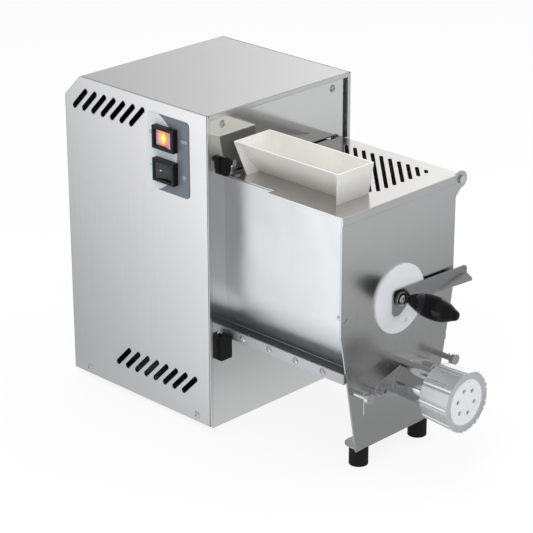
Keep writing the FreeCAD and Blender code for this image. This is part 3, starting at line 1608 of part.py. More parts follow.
# The egg's outline: share of its length from the lever, share of its widest radius
EGG_PROFILE = ((0.11, 0.64), (0.27, 0.89), (0.46, 1), (0.6, 0.98), (0.79, 0.78), (0.93, 0.47))


def handle_spindle():
    """Shouldered pin riveted into the lever, which the handle turns on."""
    body = new_body()
    radius = S.handle_spindle_radius
    turned(
        body,
        (0, LEVER_FRONT + S.lever_sheet),
        (S.screw_radius, LEVER_FRONT + S.lever_sheet),
        (S.screw_radius, LEVER_FRONT),
        (radius, LEVER_FRONT),
        (radius, HANDLE_FRONT + S.handle_radius),
        (0, HANDLE_FRONT + S.handle_radius),
    )
    return finish(body, "handle_spindle", (S.handle_x, 0, S.handle_z))


def egg_handle():
    """Egg-shaped grip turned about the spindle, thickest towards its free end."""
    start = HANDLE_BACK.number
    end = HANDLE_FRONT.number
    length = start - end
    neck = S.handle_neck_radius.number
    belly = S.handle_radius.number
    profile = Part.BSplineCurve()
    profile.interpolate(Points=[
        Vector(neck, start, 0),
        *[Vector(belly * width, start - length * share, 0) for share, width in EGG_PROFILE],
        Vector(0, end, 0),
    ], InitialTangent=Vector(1, -1, 0), FinalTangent=Vector(-1, 0, 0))
    bore_radius = (S.handle_spindle_radius + S.running_gap).number
    outline = Part.Wire([
        Part.LineSegment(Vector(0, end, 0), Vector(0, start, 0)).toShape(),
        Part.LineSegment(Vector(0, start, 0), Vector(neck, start, 0)).toShape(),
        profile.toShape(),
    ])
    egg = Part.Face(outline).revolve(Vector(0, 0, 0), Vector(0, 1, 0), 360)
    bore_end = (HANDLE_FRONT + S.handle_radius - S.fit_gap).number
    bore = Part.makeCylinder(bore_radius, start - bore_end, Vector(0, bore_end, 0), Vector(0, 1, 0))
    return shaped("egg_handle", egg.cut(bore), (S.handle_x, 0, S.handle_z))


# Mixer, auger and seals

MIXER_FRONT = PLATE_FRONT + S.mixer_disc_thickness + S.fit_gap
SHAFT_END = GEARBOX_BACK + S.gear_side_gap


def mixer_shaft():
    """Round shaft with hubbed mixing arms, each turned a quarter from the one before."""
    length = SHAFT_END - MIXER_FRONT
    parts = [rod("Y", 0, MIXER_FRONT, 0, S.shaft_radius, length)]
    middle = (PLATE_FRONT + S.mixer_spigot_depth + PANEL_FRONT) / 2
    count = int(S.mixer_arm_count.number)
    for number in range(count):
        y = middle + S.mixer_arm_spacing * (number - (count - 1) / 2)
        parts.append(rod("Y", 0, y - S.mixer_hub_radius / 2, 0, S.mixer_hub_radius, S.mixer_hub_radius))
        arm = rod("Z", 0, y, 0, S.mixer_arm_radius, S.mixer_arm_reach - S.mixer_blade_thickness)
        blade = box(
            -S.mixer_blade_height / 2, S.mixer_blade_height / 2,
            y - S.mixer_blade_width / 2, y + S.mixer_blade_width / 2,
            S.mixer_arm_reach - S.mixer_blade_thickness * 2, S.mixer_arm_reach - S.mixer_blade_thickness,
        )
        carrier = fuse(arm, blade)
        carrier.Placement.Rotation = FreeCAD.Rotation(Vector(0, 1, 0), 90 * number)
        parts.append(carrier)
    return finish(fuse(*parts), "mixer_shaft", (0, 0, MIXER_Z))


def auger_screw():
    """Auger: root shaft, helical flight inside the barrel and trough, and the drive end."""
    body = new_body()
    front = -S.auger_front
    flight_end = PANEL_FRONT - S.tank_sheet - S.seal_thickness - S.auger_flight
    turned(
        body,
        (0, front),
        (S.auger_root_radius, front),
        (S.auger_root_radius, flight_end),
        (S.shaft_radius, flight_end),
        (S.shaft_radius, SHAFT_END),
        (0, SHAFT_END),
    )
    inner = S.auger_root_radius - S.sheet
    sketch = plane_sketch(body, "XY", 0, [polygon(
        (inner, front),
        (S.auger_radius, front + S.auger_flight / 4),
        (S.auger_radius, front + S.auger_flight * 3 / 4),
        (inner, front + S.auger_flight),
    )])
    flight = body.newObject("PartDesign::AdditiveHelix", "Flight")
    flight.Profile = sketch
    flight.ReferenceAxis = (sketch, ["V_Axis"])
    flight.Mode = "pitch-height-angle"
    bind(flight, "Pitch", S.auger_pitch)
    bind(flight, "Height", flight_end - front - S.auger_flight)
    return finish(body, "auger_screw", (0, 0, S.auger_z))


def shaft_seals():
    """Seal rings on the tank's back wall, one round each shaft."""
    start = PANEL_FRONT - S.tank_sheet - S.seal_thickness
    seals = []
    for z in (S.auger_z, MIXER_Z):
        ring = rod("Y", 0, start, z, S.seal_radius, S.seal_thickness)
        seals.append(cut(ring, rod("Y", 0, start, z, SHAFT_BORE, S.seal_thickness)))
    return group("shaft_seals", seals)


# Gearbox

def involute(angle):
    return math.tan(angle) - angle


def gear_wire(teeth, module, phase, station):
    """Outline of a spur gear with involute flanks; one tooth is centred on the phase angle."""
    pressure = math.radians(20)
    pitch_radius = teeth * module / 2
    base_radius = pitch_radius * math.cos(pressure)
    tip_radius = pitch_radius + module
    root_radius = pitch_radius - module * 1.25
    half_pitch = math.pi / teeth
    half_tooth = half_pitch / 2 - S.gear_backlash.number / (4 * pitch_radius)
    start_radius = max(base_radius, root_radius)
    steps = [start_radius + (tip_radius - start_radius) * share for share in (0, 0.15, 0.4, 0.7, 1)]
    spread = []
    for radius in steps:
        local = math.acos(min(1, base_radius / radius))
        spread.append(half_tooth + involute(pressure) - involute(local))

    def at(radius, angle):
        return Vector(math.cos(angle) * radius, station, math.sin(angle) * radius)

    def flank(centre, side):
        points = [at(radius, centre + side * angle) for radius, angle in zip(steps, spread)]
        curve = Part.BSplineCurve()
        curve.interpolate(points if side < 0 else points[::-1])
        return curve.toShape()

    edges = []
    for number in range(teeth):
        centre = phase + number * half_pitch * 2
        following = centre + half_pitch * 2
        low = centre - spread[0]
        high = centre + spread[0]
        if root_radius < base_radius:
            edges.append(Part.LineSegment(at(root_radius, low), at(start_radius, low)).toShape())
        edges.append(flank(centre, -1))
        tips = [at(tip_radius, centre + angle) for angle in (-spread[-1], 0, spread[-1])]
        edges.append(Part.Arc(*tips).toShape())
        edges.append(flank(centre, 1))
        if root_radius < base_radius:
            edges.append(Part.LineSegment(at(start_radius, high), at(root_radius, high)).toShape())
        bottom = [at(root_radius, angle) for angle in (high, centre + half_pitch, following - spread[0])]
        edges.append(Part.Arc(*bottom).toShape())
    return Part.Wire(edges)


def gear_solid(teeth, module, phase, start, width, bore):
    """Spur gear along +Y from its start station, bored for a shaft."""
    blank = Part.Face(gear_wire(int(teeth.number), module.number, phase, start.number))
    solid = blank.extrude(Vector(0, width.number, 0))
    return solid.cut(Part.makeCylinder(
        bore.number, width.number, Vector(0, start.number, 0), Vector(0, 1, 0)))


TO_AUGER = -math.pi / 2
TO_IDLER = math.radians(S.idler_angle.number)
TO_MOTOR = math.atan2((MOTOR_Z - IDLER_Z).number, -IDLER_X.number)


def facing(own_phase, own_teeth, direction, mate_teeth):
    """Phase that puts the mate's tooth space opposite whatever the first gear shows there."""
    own_pitch = 2 * math.pi / own_teeth
    mate_pitch = 2 * math.pi / mate_teeth
    offset = (direction - own_phase) / own_pitch
    lead = offset - math.floor(offset)
    return direction + math.pi + mate_pitch * (0.5 + lead)


def mixer_gear():
    gear = gear_solid(S.mixer_teeth, S.gear_module, TO_AUGER, MAIN_GEARS, S.gear_width, S.shaft_radius)
    return shaped("mixer_gear", gear, (0, 0, MIXER_Z))


def auger_gear():
    phase = facing(TO_AUGER, S.mixer_teeth.number, TO_AUGER, S.auger_teeth.number)
    gear = gear_solid(S.auger_teeth, S.gear_module, phase, MAIN_GEARS, S.gear_width, S.shaft_radius)
    return shaped("auger_gear", gear, (0, 0, S.auger_z))


def idler_cluster():
    """Pinion and wheel cut as one double gear, driven by the motor and driving the mixer."""
    phase = facing(TO_AUGER, S.mixer_teeth.number, TO_IDLER, S.idler_pinion_teeth.number)
    pinion = gear_solid(
        S.idler_pinion_teeth, S.gear_module, phase, MAIN_GEARS, WHEEL_START - MAIN_GEARS, S.shaft_radius)
    wheel = gear_solid(
        S.idler_wheel_teeth, S.idler_module, TO_MOTOR, WHEEL_START, S.wheel_width, S.shaft_radius)
    return shaped("idler_double_gear", pinion.fuse(wheel), (IDLER_X, 0, IDLER_Z))


def motor_pinion():
    phase = facing(TO_MOTOR, S.idler_wheel_teeth.number, TO_MOTOR, S.motor_teeth.number)
    gear = gear_solid(
        S.motor_teeth, S.idler_module, phase, WHEEL_START, S.wheel_width, S.motor_shaft_radius)
    return shaped("motor_pinion", gear, (0, 0, MOTOR_Z))


def idler_shaft():
    start = GEARBOX_FRONT + S.fit_gap
    length = GEARBOX_BACK - S.fit_gap - start
    return finish(rod("Y", IDLER_X, start, IDLER_Z, S.shaft_radius, length), "idler_shaft")


def post_points():
    inset = S.gearbox_post_inset
    x = S.gearbox_half_width - inset
    levels = (BASE_TOP + inset * 2, MIXER_Z - inset, S.gearbox_top - inset)
    return [(x * side, z) for side in (LEFT, RIGHT) for z in levels]


def gearbox_plate(label, start, motor_side):
    """Bearing plate of the gearbox; the rear one also takes the motor's flange."""
    body = new_body()
    loops = [
        rectangle(-S.gearbox_half_width, S.gearbox_half_width, BASE_TOP, S.gearbox_top),
        circle(0, S.auger_z, BEARING_RADIUS),
        circle(0, MIXER_Z, BEARING_RADIUS),
        circle(IDLER_X, IDLER_Z, BEARING_RADIUS),
    ]
    if motor_side:
        loops.append(circle(0, MOTOR_Z, S.motor_teeth * S.idler_module / 2 + S.idler_module * 2))
        loops.extend(circle(x, z, SCREW_HOLE) for x, z in motor_bolt_points())
    loops.extend(circle(x, z, SCREW_HOLE) for x, z in post_points())
    slab(body, "XZ", start, start + S.gearbox_plate, *loops)
    return finish(body, label)


def gearbox_posts():
    """Spacer tubes between the plates."""
    posts = []
    length = GEARBOX_REAR - GEARBOX_INSIDE
    for x, z in post_points():
        tube = rod("Y", x, GEARBOX_INSIDE, z, S.gearbox_post_radius, length)
        posts.append(cut(tube, rod("Y", x, GEARBOX_INSIDE, z, SCREW_HOLE, length)))
    return group("gearbox_posts", posts)


def gearbox_bolts():
    """Through bolts of the spacer tubes, and the bolts that hold the motor's flange."""
    length = GEARBOX_BACK - GEARBOX_FRONT
    bolts = [screw((x, GEARBOX_BACK, z), (0, 1, 0), length=length) for x, z in post_points()]
    for x, z in motor_bolt_points():
        bolts.append(screw((x, GEARBOX_REAR, z), (0, -1, 0), length=S.gearbox_plate))
    return group("gearbox_bolts", bolts)


def gearbox_feet():
    """Angle bars that stand the two bearing plates on the base plate."""
    feet = []
    for wall, direction in ((GEARBOX_INSIDE, 1), (GEARBOX_BACK, 1)):
        half = S.gearbox_half_width - S.gearbox_post_inset * 2
        upright = box(-half, half, wall, wall + S.base_thickness, BASE_TOP, BASE_TOP + S.gearbox_foot)
        shelf = box(-half, half, wall, wall + S.gearbox_foot, BASE_TOP, BASE_TOP + S.base_thickness)
        feet.append(fuse(upright, shelf))
    return group("gearbox_feet", feet)


def bearings():
    """Plain bearing bushes pressed into both plates for the three shafts."""
    rings = []
    for start in (GEARBOX_FRONT, GEARBOX_REAR):
        for x, z in ((0, S.auger_z), (0, MIXER_Z), (IDLER_X, IDLER_Z)):
            ring = rod("Y", x, start, z, BEARING_RADIUS, S.gearbox_plate)
            rings.append(cut(ring, rod("Y", x, start, z, SHAFT_BORE, S.gearbox_plate)))
    return group("bearing_bushes", rings)


# Motor

MOTOR_FRONT = GEARBOX_BACK
MOTOR_BODY_END = MOTOR_FRONT + S.motor_length
STATOR_RADIUS = S.motor_radius - S.motor_wall
ROTOR_RADIUS = STATOR_RADIUS - S.stator_wall - S.rotor_gap
MOTOR_BORE = S.motor_shaft_radius + S.running_gap


def motor_bolt_points():
    points = []
    for quarter in range(4):
        angle = as_value(45 + 90 * quarter)
        points.append((S.motor_bolt_circle * cosine(angle), MOTOR_Z + S.motor_bolt_circle * sine(angle)))
    return points


def motor_housing():
    """Finned motor body with its flange, closed at both ends round the shaft."""
    body = new_body()
    flange_end = MOTOR_FRONT + S.motor_flange_thickness
    turned(
        body,
        (MOTOR_BORE, MOTOR_FRONT),
        (S.motor_flange_radius, MOTOR_FRONT),
        (S.motor_flange_radius, flange_end),
        (S.motor_radius, flange_end),
        (S.motor_radius, MOTOR_BODY_END),
        (MOTOR_BORE, MOTOR_BODY_END),
        (MOTOR_BORE, MOTOR_BODY_END - S.motor_wall),
        (STATOR_RADIUS, MOTOR_BODY_END - S.motor_wall),
        (STATOR_RADIUS, flange_end),
        (MOTOR_BORE, flange_end),
    )
    half = S.motor_fin_width / 2
    inner = S.motor_radius - S.motor_wall / 2
    fin = slab(body, "XZ", flange_end, MOTOR_BODY_END, rectangle(
        -half, half, inner, S.motor_radius + S.motor_fin_height))
    repeat_round(body, fin, "Y", S.motor_fin_count)
    return finish(body, "motor_housing", (0, 0, MOTOR_Z))


def motor_stator():
    """Laminated ring with its windings."""
    middle = (MOTOR_FRONT + S.motor_flange_thickness + MOTOR_BODY_END - S.motor_wall) / 2
    start = middle - S.stator_length / 2
    inner = STATOR_RADIUS - S.stator_wall
    return finish(cut(
        rod("Y", 0, start, MOTOR_Z, STATOR_RADIUS, S.stator_length),
        rod("Y", 0, start, MOTOR_Z, inner, S.stator_length),
    ), "motor_stator")


def motor_rotor():
    """Rotor core on the motor shaft, which reaches from the pinion to the motor's fan."""
    body = new_body()
    middle = (MOTOR_FRONT + S.motor_flange_thickness + MOTOR_BODY_END - S.motor_wall) / 2
    half = S.stator_length / 2
    end = MOTOR_BODY_END + S.fan_cover_length - S.motor_wall
    radius = S.motor_shaft_radius
    turned(
        body,
        (0, WHEEL_START),
        (radius, WHEEL_START),
        (radius, middle - half),
        (ROTOR_RADIUS, middle - half),
        (ROTOR_RADIUS, middle + half),
        (radius, middle + half),
        (radius, end),
        (0, end),
    )
    return finish(body, "motor_rotor", (0, 0, MOTOR_Z))


def motor_fan():
    """Radial-bladed fan on the motor's rear shaft end."""
    start = MOTOR_BODY_END + S.gear_side_gap
    body = new_body()
    radius = S.motor_shaft_radius
    turned(
        body,
        (radius, start),
        (S.motor_fan_radius, start),
        (S.motor_fan_radius, start + S.sheet),
        (radius * 2, start + S.sheet),
        (radius * 2, start + S.motor_fan_thickness),
        (radius, start + S.motor_fan_thickness),
    )
    half = S.sheet / 2
    blade = slab(body, "XZ", start + half, start + S.motor_fan_thickness, rectangle(
        -half, half, radius * 1.5, S.motor_fan_radius))
    repeat_round(body, blade, "Y", S.fan_blade_count)
    return finish(body, "motor_fan", (0, 0, MOTOR_Z))


def motor_fan_cover():
    """Cowl over the motor's fan, with a ring of air holes."""
    body = new_body()
    end = MOTOR_BODY_END + S.fan_cover_length
    outer = S.motor_radius + S.motor_fin_height
    turned(
        body,
        (S.motor_radius - S.sheet, MOTOR_BODY_END),
        (outer, MOTOR_BODY_END),
        (outer, end),
        (0, end),
        (0, end - S.sheet),
        (S.motor_radius - S.sheet, end - S.sheet),
    )
    hole = recess(body, "XZ", end - S.sheet, end, circle(S.motor_fan_radius / 2, 0, S.motor_wall))
    repeat_round(body, hole, "Y", S.fan_cover_hole_count)
    return finish(body, "motor_fan_cover", (0, 0, MOTOR_Z))


# Electrical boxes

def capacitor():
    y = BACK_INSIDE - S.capacitor_rear_gap
    return finish(rod("Z", S.capacitor_x, y, BASE_TOP, S.capacitor_radius, S.capacitor_length), "run_capacitor")


def control_box():
    left = S.control_box_x - S.control_box_width / 2
    back = S.control_box_y + S.control_box_depth
    top = BASE_TOP + S.control_box_height
    return finish(
        box(left, left + S.control_box_width, S.control_box_y, back, BASE_TOP, top), "control_box")


# Assembly

side_panel("side_panel_left", LEFT)
side_panel("side_panel_right", RIGHT)
top_cover()
front_panel()
rear_panel()
base_plate()
rubber_feet()
foot_bolts()
inner_frame()
case_screws()
label_plate()
switch_frame("power_switch_frame", UPPER_SWITCH_Z)
switch_frame("mode_switch_frame", LOWER_SWITCH_Z)
rocker("power_rocker", UPPER_SWITCH_Z, -S.rocker_tilt)
rocker("mode_rocker", LOWER_SWITCH_Z, S.rocker_tilt)
power_gland()
cooling_fan_frame()
cooling_fan_rotor()
tank_shell()
tank_rails()
front_plate()
lid()
hinge_bracket()
hinge_pins()
feed_tray()
lid_sensor()
lid_key()
tank_sensor()
barrel()
barrel_bolts()
ring_nut()
die_disc()
cutter_studs()
front_bearing()
lever_plate()
lever_hub()
handle_spindle()
egg_handle()
mixer_shaft()
auger_screw()
shaft_seals()
mixer_gear()
auger_gear()
idler_shaft()
idler_cluster()
gearbox_plate("gearbox_front_plate", GEARBOX_FRONT, False)
gearbox_plate("gearbox_rear_plate", GEARBOX_REAR, True)
gearbox_posts()
gearbox_bolts()
gearbox_feet()
bearings()
motor_pinion()
motor_housing()
motor_stator()
motor_rotor()
motor_fan()
motor_fan_cover()
capacitor()
control_box()
doc.recompute()

for item in doc.Objects:
    if "Invalid" in item.State or "Error" in item.State:
        raise RuntimeError("%s (%s) failed: %s" % (item.Label, item.TypeId, item.State))
    if item.TypeId == "PartDesign::Pocket":
        if item.Shape.Volume > item.BaseFeature.Shape.Volume - 1e-6:
            raise RuntimeError("A pocket of %s cuts nothing" % item.getParentGeoFeatureGroup().Label)
for piece in PIECES:
    if piece.Shape.isNull() or not piece.Shape.isValid():
        raise RuntimeError("%s has no valid shape" % piece.Label)

os.makedirs("parts", exist_ok=True)
for piece in PIECES:
    piece.Shape.exportStep("parts/%s.step" % piece.Label)
print("%d pieces" % len(PIECES))
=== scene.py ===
"""Looks of the electric pasta maker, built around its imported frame. Metres, Z up, front towards -Y."""
import math

import bmesh
import bpy
from mathutils import Matrix, Vector


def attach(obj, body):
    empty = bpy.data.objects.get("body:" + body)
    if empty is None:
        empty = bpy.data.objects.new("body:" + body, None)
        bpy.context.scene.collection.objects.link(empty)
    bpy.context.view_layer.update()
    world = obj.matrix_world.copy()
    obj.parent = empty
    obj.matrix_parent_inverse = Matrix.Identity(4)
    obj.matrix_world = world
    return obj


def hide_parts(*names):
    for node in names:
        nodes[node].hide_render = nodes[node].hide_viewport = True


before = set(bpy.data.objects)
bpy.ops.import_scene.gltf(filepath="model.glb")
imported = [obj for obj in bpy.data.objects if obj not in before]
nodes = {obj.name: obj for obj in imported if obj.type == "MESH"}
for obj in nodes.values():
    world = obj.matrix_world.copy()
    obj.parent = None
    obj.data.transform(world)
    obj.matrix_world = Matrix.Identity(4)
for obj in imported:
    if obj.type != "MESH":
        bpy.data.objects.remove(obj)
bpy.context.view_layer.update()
scene = bpy.context.scene

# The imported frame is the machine's own datum moved by this much, so that it stands centred
SHIFT = Vector((0.0031, 0.0183, 0.0))


def place(x, y, z):
    """A point of the machine in millimetres from its own datum, in the frame's metres."""
    return Vector((x, y, z)) / 1000 + SHIFT


# Camera

SENSOR_MM = 36
LENS_MM = 143.78
CAMERA_EYE = place(-1842.0, -1786.1, 1257.5)
CAMERA_RIGHT = Vector((0.7010, -0.7132, -0.0014))
CAMERA_UP = Vector((0.2735, 0.2670, 0.9240))
CAMERA_BACK = Vector((-0.6586, -0.6481, 0.3823))


def make_camera():
    """Camera at the photograph's viewing angle."""
    data = bpy.data.cameras.new("camera")
    data.sensor_width = SENSOR_MM
    data.lens = LENS_MM
    data.clip_end = 50
    camera = bpy.data.objects.new("camera", data)
    turn = Matrix((CAMERA_RIGHT, CAMERA_UP, CAMERA_BACK)).transposed()
    camera.matrix_world = Matrix.Translation(CAMERA_EYE) @ turn.to_4x4()
    scene.collection.objects.link(camera)
    scene.camera = camera


make_camera()


# Node graphs

class Graph:
    """Short calls for building a node tree; a socket given as a value is linked."""

    def __init__(self, tree):
        self.tree = tree

    def add(self, kind, inputs=None, **settings):
        made = self.tree.nodes.new(kind)
        for key, item in settings.items():
            setattr(made, key, item)
        for key, item in (inputs or {}).items():
            self.feed(made.inputs[key], item)
        return made

    def feed(self, socket, item):
        if isinstance(item, bpy.types.NodeSocket):
            self.tree.links.new(item, socket)
        else:
            socket.default_value = item

    def math(self, operation, *items):
        made = self.add("ShaderNodeMath", operation=operation)
        for index, item in enumerate(items):
            self.feed(made.inputs[index], item)
        return made.outputs[0]

    def product(self, first, second):
        return self.math("MULTIPLY", first, second)

    def sum(self, first, second):
        return self.math("ADD", first, second)

    def less(self, first, second):
        return self.math("SUBTRACT", first, second)

    def length(self, first, second):
        return self.math("SQRT", self.sum(self.product(first, first), self.product(second, second)))

    def toward(self, item, goal, share):
        """The item moved towards a goal by a share."""
        return self.sum(item, self.product(share, self.less(goal, item)))

    def fit(self, item, low, high, to_low=0.0, to_high=1.0, smooth=True):
        """The item's span from low to high, mapped to another span and held at its ends."""
        made = self.add("ShaderNodeMapRange", {
            "Value": item, "From Min": low, "From Max": high, "To Min": to_low, "To Max": to_high,
        }, interpolation_type="SMOOTHSTEP" if smooth else "LINEAR")
        return made.outputs["Result"]

    def blend(self, share, first, second):
        """Colour between the first and the second."""
        made = self.add("ShaderNodeMix", data_type="RGBA")
        self.feed(made.inputs["Factor"], share)
        for key, item in (("A", first), ("B", second)):
            socket = [one for one in made.inputs if one.name == key and one.type == "RGBA"][0]
            self.feed(socket, item)
        return [one for one in made.outputs if one.type == "RGBA"][0]

    def mix_shader(self, share, first, second):
        return self.add("ShaderNodeMixShader", {0: share, 1: first, 2: second}).outputs[0]

    def grid(self, *scale):
        """Object coordinates, stretched by one number or by one for each axis."""
        where = self.add("ShaderNodeTexCoord").outputs["Object"]
        scale = scale if len(scale) == 3 else scale * 3
        return self.add("ShaderNodeMapping", {"Vector": where, "Scale": scale}).outputs["Vector"]

    def position(self):
        """X, Y and Z of a point in its object's own space."""
        return self.split(self.add("ShaderNodeTexCoord").outputs["Object"])

    def noise(self, vector, scale=1.0, detail=2.0, roughness=0.5):
        made = self.add("ShaderNodeTexNoise", {
            "Vector": vector, "Scale": scale, "Detail": detail, "Roughness": roughness,
        })
        return made.outputs["Fac"]

    def split(self, vector):
        return self.add("ShaderNodeSeparateXYZ", {"Vector": vector}).outputs

    def bump(self, height, distance, strength=1.0, normal=None):
        made = self.add("ShaderNodeBump", {"Height": height, "Distance": distance, "Strength": strength})
        if normal is not None:
            self.feed(made.inputs["Normal"], normal)
        return made.outputs["Normal"]


def rgb(red, green, blue):
    return (red, green, blue, 1.0)


def scaled(color, share, lift=0.0):
    return rgb(*[min(1.0, part * share + lift) for part in color])


def new_material(name):
    material = bpy.data.materials.new(name)
    material.use_nodes = True
    tree = material.node_tree
    tree.nodes.clear()
    graph = Graph(tree)
    shader = graph.add("ShaderNodeBsdfPrincipled")
    output = graph.add("ShaderNodeOutputMaterial")
    tree.links.new(shader.outputs[0], output.inputs["Surface"])
    return material, graph, shader


def edge_highlight_mask(graph, radius, reach=0.25):
    """Mask for a painted edge highlight: 1 on edges and 0 on open faces, from how far a rounded normal leans
    from the true one.
    """
    rounded = graph.add("ShaderNodeBevel", {"Radius": radius}, samples=4).outputs["Normal"]
    true_normal = graph.add("ShaderNodeNewGeometry").outputs["Normal"]
    lean = graph.add("ShaderNodeVectorMath", {0: rounded, 1: true_normal}, operation="DOT_PRODUCT")
    return graph.fit(lean.outputs["Value"], 1.0, 1.0 - reach), rounded


AXES = "XYZ"
EDGE = 0.0008
# Colours of the painted highlight on the edges of ground and of turned metal
EDGE_HIGHLIGHT_STEEL = rgb(0.93, 0.94, 0.95)
EDGE_HIGHLIGHT_TURNED = rgb(0.95, 0.95, 0.96)
# Colour of the painted shadow lines along seams and folds
SEAM_SHADOW = rgb(0.05, 0.05, 0.055)


def sheet_metal(name, color, roughness, grain, streak=0.05, depth=0.00002, edge=EDGE, smudge=0.06, shadow_seams=()):
    """Ground steel or aluminium: streaks along the grain, faint cloudy smears and edges lightened by a
    painted highlight.

    Each seam is an axis, a place on it and a half width in metres, where a painted shadow line darkens the
    sheet along the joint.
    """
    material, graph, shader = new_material(name)
    fine = [9.0 if axis in grain else 1400.0 for axis in AXES]
    wide = [2.5 if axis in grain else 260.0 for axis in AXES]
    lines = graph.noise(graph.grid(*fine), detail=3.0, roughness=0.7)
    bands = graph.noise(graph.grid(*wide), detail=2.0)
    clouds = graph.noise(graph.grid(9), detail=3.0, roughness=0.6)
    tone = graph.sum(graph.product(lines, 0.55), graph.product(bands, 0.45))
    base = graph.blend(graph.fit(tone, 0.32, 0.68), scaled(color, 1 - streak), scaled(color, 1 + streak))
    base = graph.blend(graph.fit(clouds, 0.35, 0.7, 0.0, smudge), base, scaled(color, 0.8))
    edges, rounded = edge_highlight_mask(graph, edge)
    # Painted highlight: edges lightened towards a pale steel colour
    base = graph.blend(graph.product(edges, 0.55), base, EDGE_HIGHLIGHT_STEEL)
    # Painted shadow: a dark line along each seam stands in for the shade in its gap or fold
    if shadow_seams:
        where = graph.position()
    for axis, middle, half in shadow_seams:
        off = graph.math("ABSOLUTE", graph.less(where[axis], middle))
        base = graph.blend(graph.fit(off, half * 1.3, half * 0.7), base, SEAM_SHADOW)
    graph.feed(shader.inputs["Base Color"], base)
    shader.inputs["Metallic"].default_value = 1.0
    gloss = graph.fit(tone, 0.3, 0.7, roughness * 0.85, roughness * 1.15)
    gloss = graph.sum(gloss, graph.fit(clouds, 0.3, 0.75, 0.0, roughness * 0.35))
    graph.feed(shader.inputs["Roughness"], gloss)
    graph.feed(shader.inputs["Normal"], graph.bump(tone, depth, 0.6, rounded))
    return material


def turned_metal(name, color, roughness, pitch, streak=0.08):
    """Lathe-turned metal: fine rings along the Y axis, with scratches and edges lightened by a painted
    highlight.
    """
    material, graph, shader = new_material(name)
    rings = graph.noise(graph.grid(25.0, 1.0 / pitch, 25.0), detail=2.0, roughness=0.6)
    specks = graph.noise(graph.grid(220), detail=3.0)
    base = graph.blend(graph.fit(rings, 0.35, 0.65), scaled(color, 1 - streak), scaled(color, 1 + streak))
    edges, rounded = edge_highlight_mask(graph, EDGE)
    # Painted highlight: edges lightened towards a pale steel colour
    base = graph.blend(graph.product(edges, 0.5), base, EDGE_HIGHLIGHT_TURNED)
    graph.feed(shader.inputs["Base Color"], base)
    shader.inputs["Metallic"].default_value = 1.0
    gloss = graph.fit(rings, 0.3, 0.7, roughness * 0.8, roughness * 1.2)
    gloss = graph.sum(gloss, graph.fit(specks, 0.4, 0.75, 0.0, roughness * 0.3))
    graph.feed(shader.inputs["Roughness"], gloss)
    graph.feed(shader.inputs["Normal"], graph.bump(rings, 0.00002, 0.7, rounded))
    return material


SKIN_GRAIN = 0.0006


def moulded(name, color, roughness, depth=0.00003, coat=0.0, tint=0.06, see=0.0, shine=0.5):
    """Moulded plastic or rubber: fine skin texture, slight mottling and softened edges lightened by a painted
    highlight.
    """
    material, graph, shader = new_material(name)
    skin = graph.noise(graph.grid(1 / SKIN_GRAIN), detail=2.0)
    clouds = graph.noise(graph.grid(30), detail=4.0, roughness=0.6)
    base = graph.blend(graph.fit(clouds, 0.3, 0.7), scaled(color, 1 - tint), scaled(color, 1 + tint))
    edges, rounded = edge_highlight_mask(graph, EDGE)
    # Painted highlight: edges lightened towards a paler copy of the colour
    base = graph.blend(graph.product(edges, 0.18), base, scaled(color, 1.3, lift=0.02))
    graph.feed(shader.inputs["Base Color"], base)
    gloss = graph.fit(skin, 0.3, 0.7, roughness * 0.88, min(1.0, roughness * 1.12))
    graph.feed(shader.inputs["Roughness"], gloss)
    shader.inputs["Specular IOR Level"].default_value = shine
    shader.inputs["Coat Weight"].default_value = coat
    shader.inputs["Coat Roughness"].default_value = 0.03
    shader.inputs["Subsurface Weight"].default_value = see
    shader.inputs["Subsurface Radius"].default_value = (0.004, 0.0035, 0.003)
    graph.feed(shader.inputs["Normal"], graph.bump(skin, depth, 0.5, rounded))
    return material


# Colour, roughness and the axes of the grain, or the pitch of the rings
SMOOTH = 0.000004
CALM = 0.012
# Places of the painted shadow lines: along the front fold and along the top cover's side edges
FRONT_FOLD = ("Y", SHIFT.y + 0.0014, 0.0006)
COVER_SEAMS = [("X", SHIFT.x + side * 0.1281, 0.0008) for side in (-1, 1)]
cabinet_steel = sheet_metal(
    "cabinet_steel", (0.67, 0.675, 0.68), 0.20, "Z", streak=CALM, depth=SMOOTH, edge=0.0014, smudge=0.03,
    shadow_seams=[FRONT_FOLD])
top_steel = sheet_metal(
    "top_steel", (0.64, 0.645, 0.65), 0.15, "Y", streak=CALM, depth=SMOOTH, edge=0.0012, smudge=0.04,
    shadow_seams=[*COVER_SEAMS, FRONT_FOLD])
mirror_steel = sheet_metal("mirror_steel", (0.72, 0.725, 0.72), 0.10, "Z", streak=CALM, depth=0.000002)
plate_steel = sheet_metal(
    "plate_steel", (0.56, 0.56, 0.56), 0.20, "Z", streak=CALM, depth=SMOOTH, smudge=0.05)
tank_steel = sheet_metal(
    "tank_steel", (0.675, 0.69, 0.705), 0.33, "YZ", streak=0.015, depth=0.000005, smudge=0.03)
rail_steel = sheet_metal("rail_steel", (0.54, 0.55, 0.565), 0.45, "Y", streak=0.02, depth=0.000005)
lid_steel = sheet_metal("lid_steel", (0.68, 0.672, 0.65), 0.15, "Y", streak=0.015, depth=SMOOTH)
frame_steel = sheet_metal("frame_steel", (0.45, 0.46, 0.47), 0.42, "X", streak=0.12)
lever_steel = sheet_metal("lever_steel", (0.36, 0.36, 0.365), 0.20, "X", streak=0.04, depth=0.000006)
polished_steel = turned_metal("polished_steel", (0.62, 0.62, 0.63), 0.10, 0.0012)
gear_steel = turned_metal("gear_steel", (0.35, 0.35, 0.36), 0.34, 0.0010)
nut_aluminium = turned_metal("nut_aluminium", (0.90, 0.905, 0.915), 0.34, 0.0009, streak=0.05)
motor_aluminium = turned_metal("motor_aluminium", (0.55, 0.56, 0.57), 0.50, 0.0030)
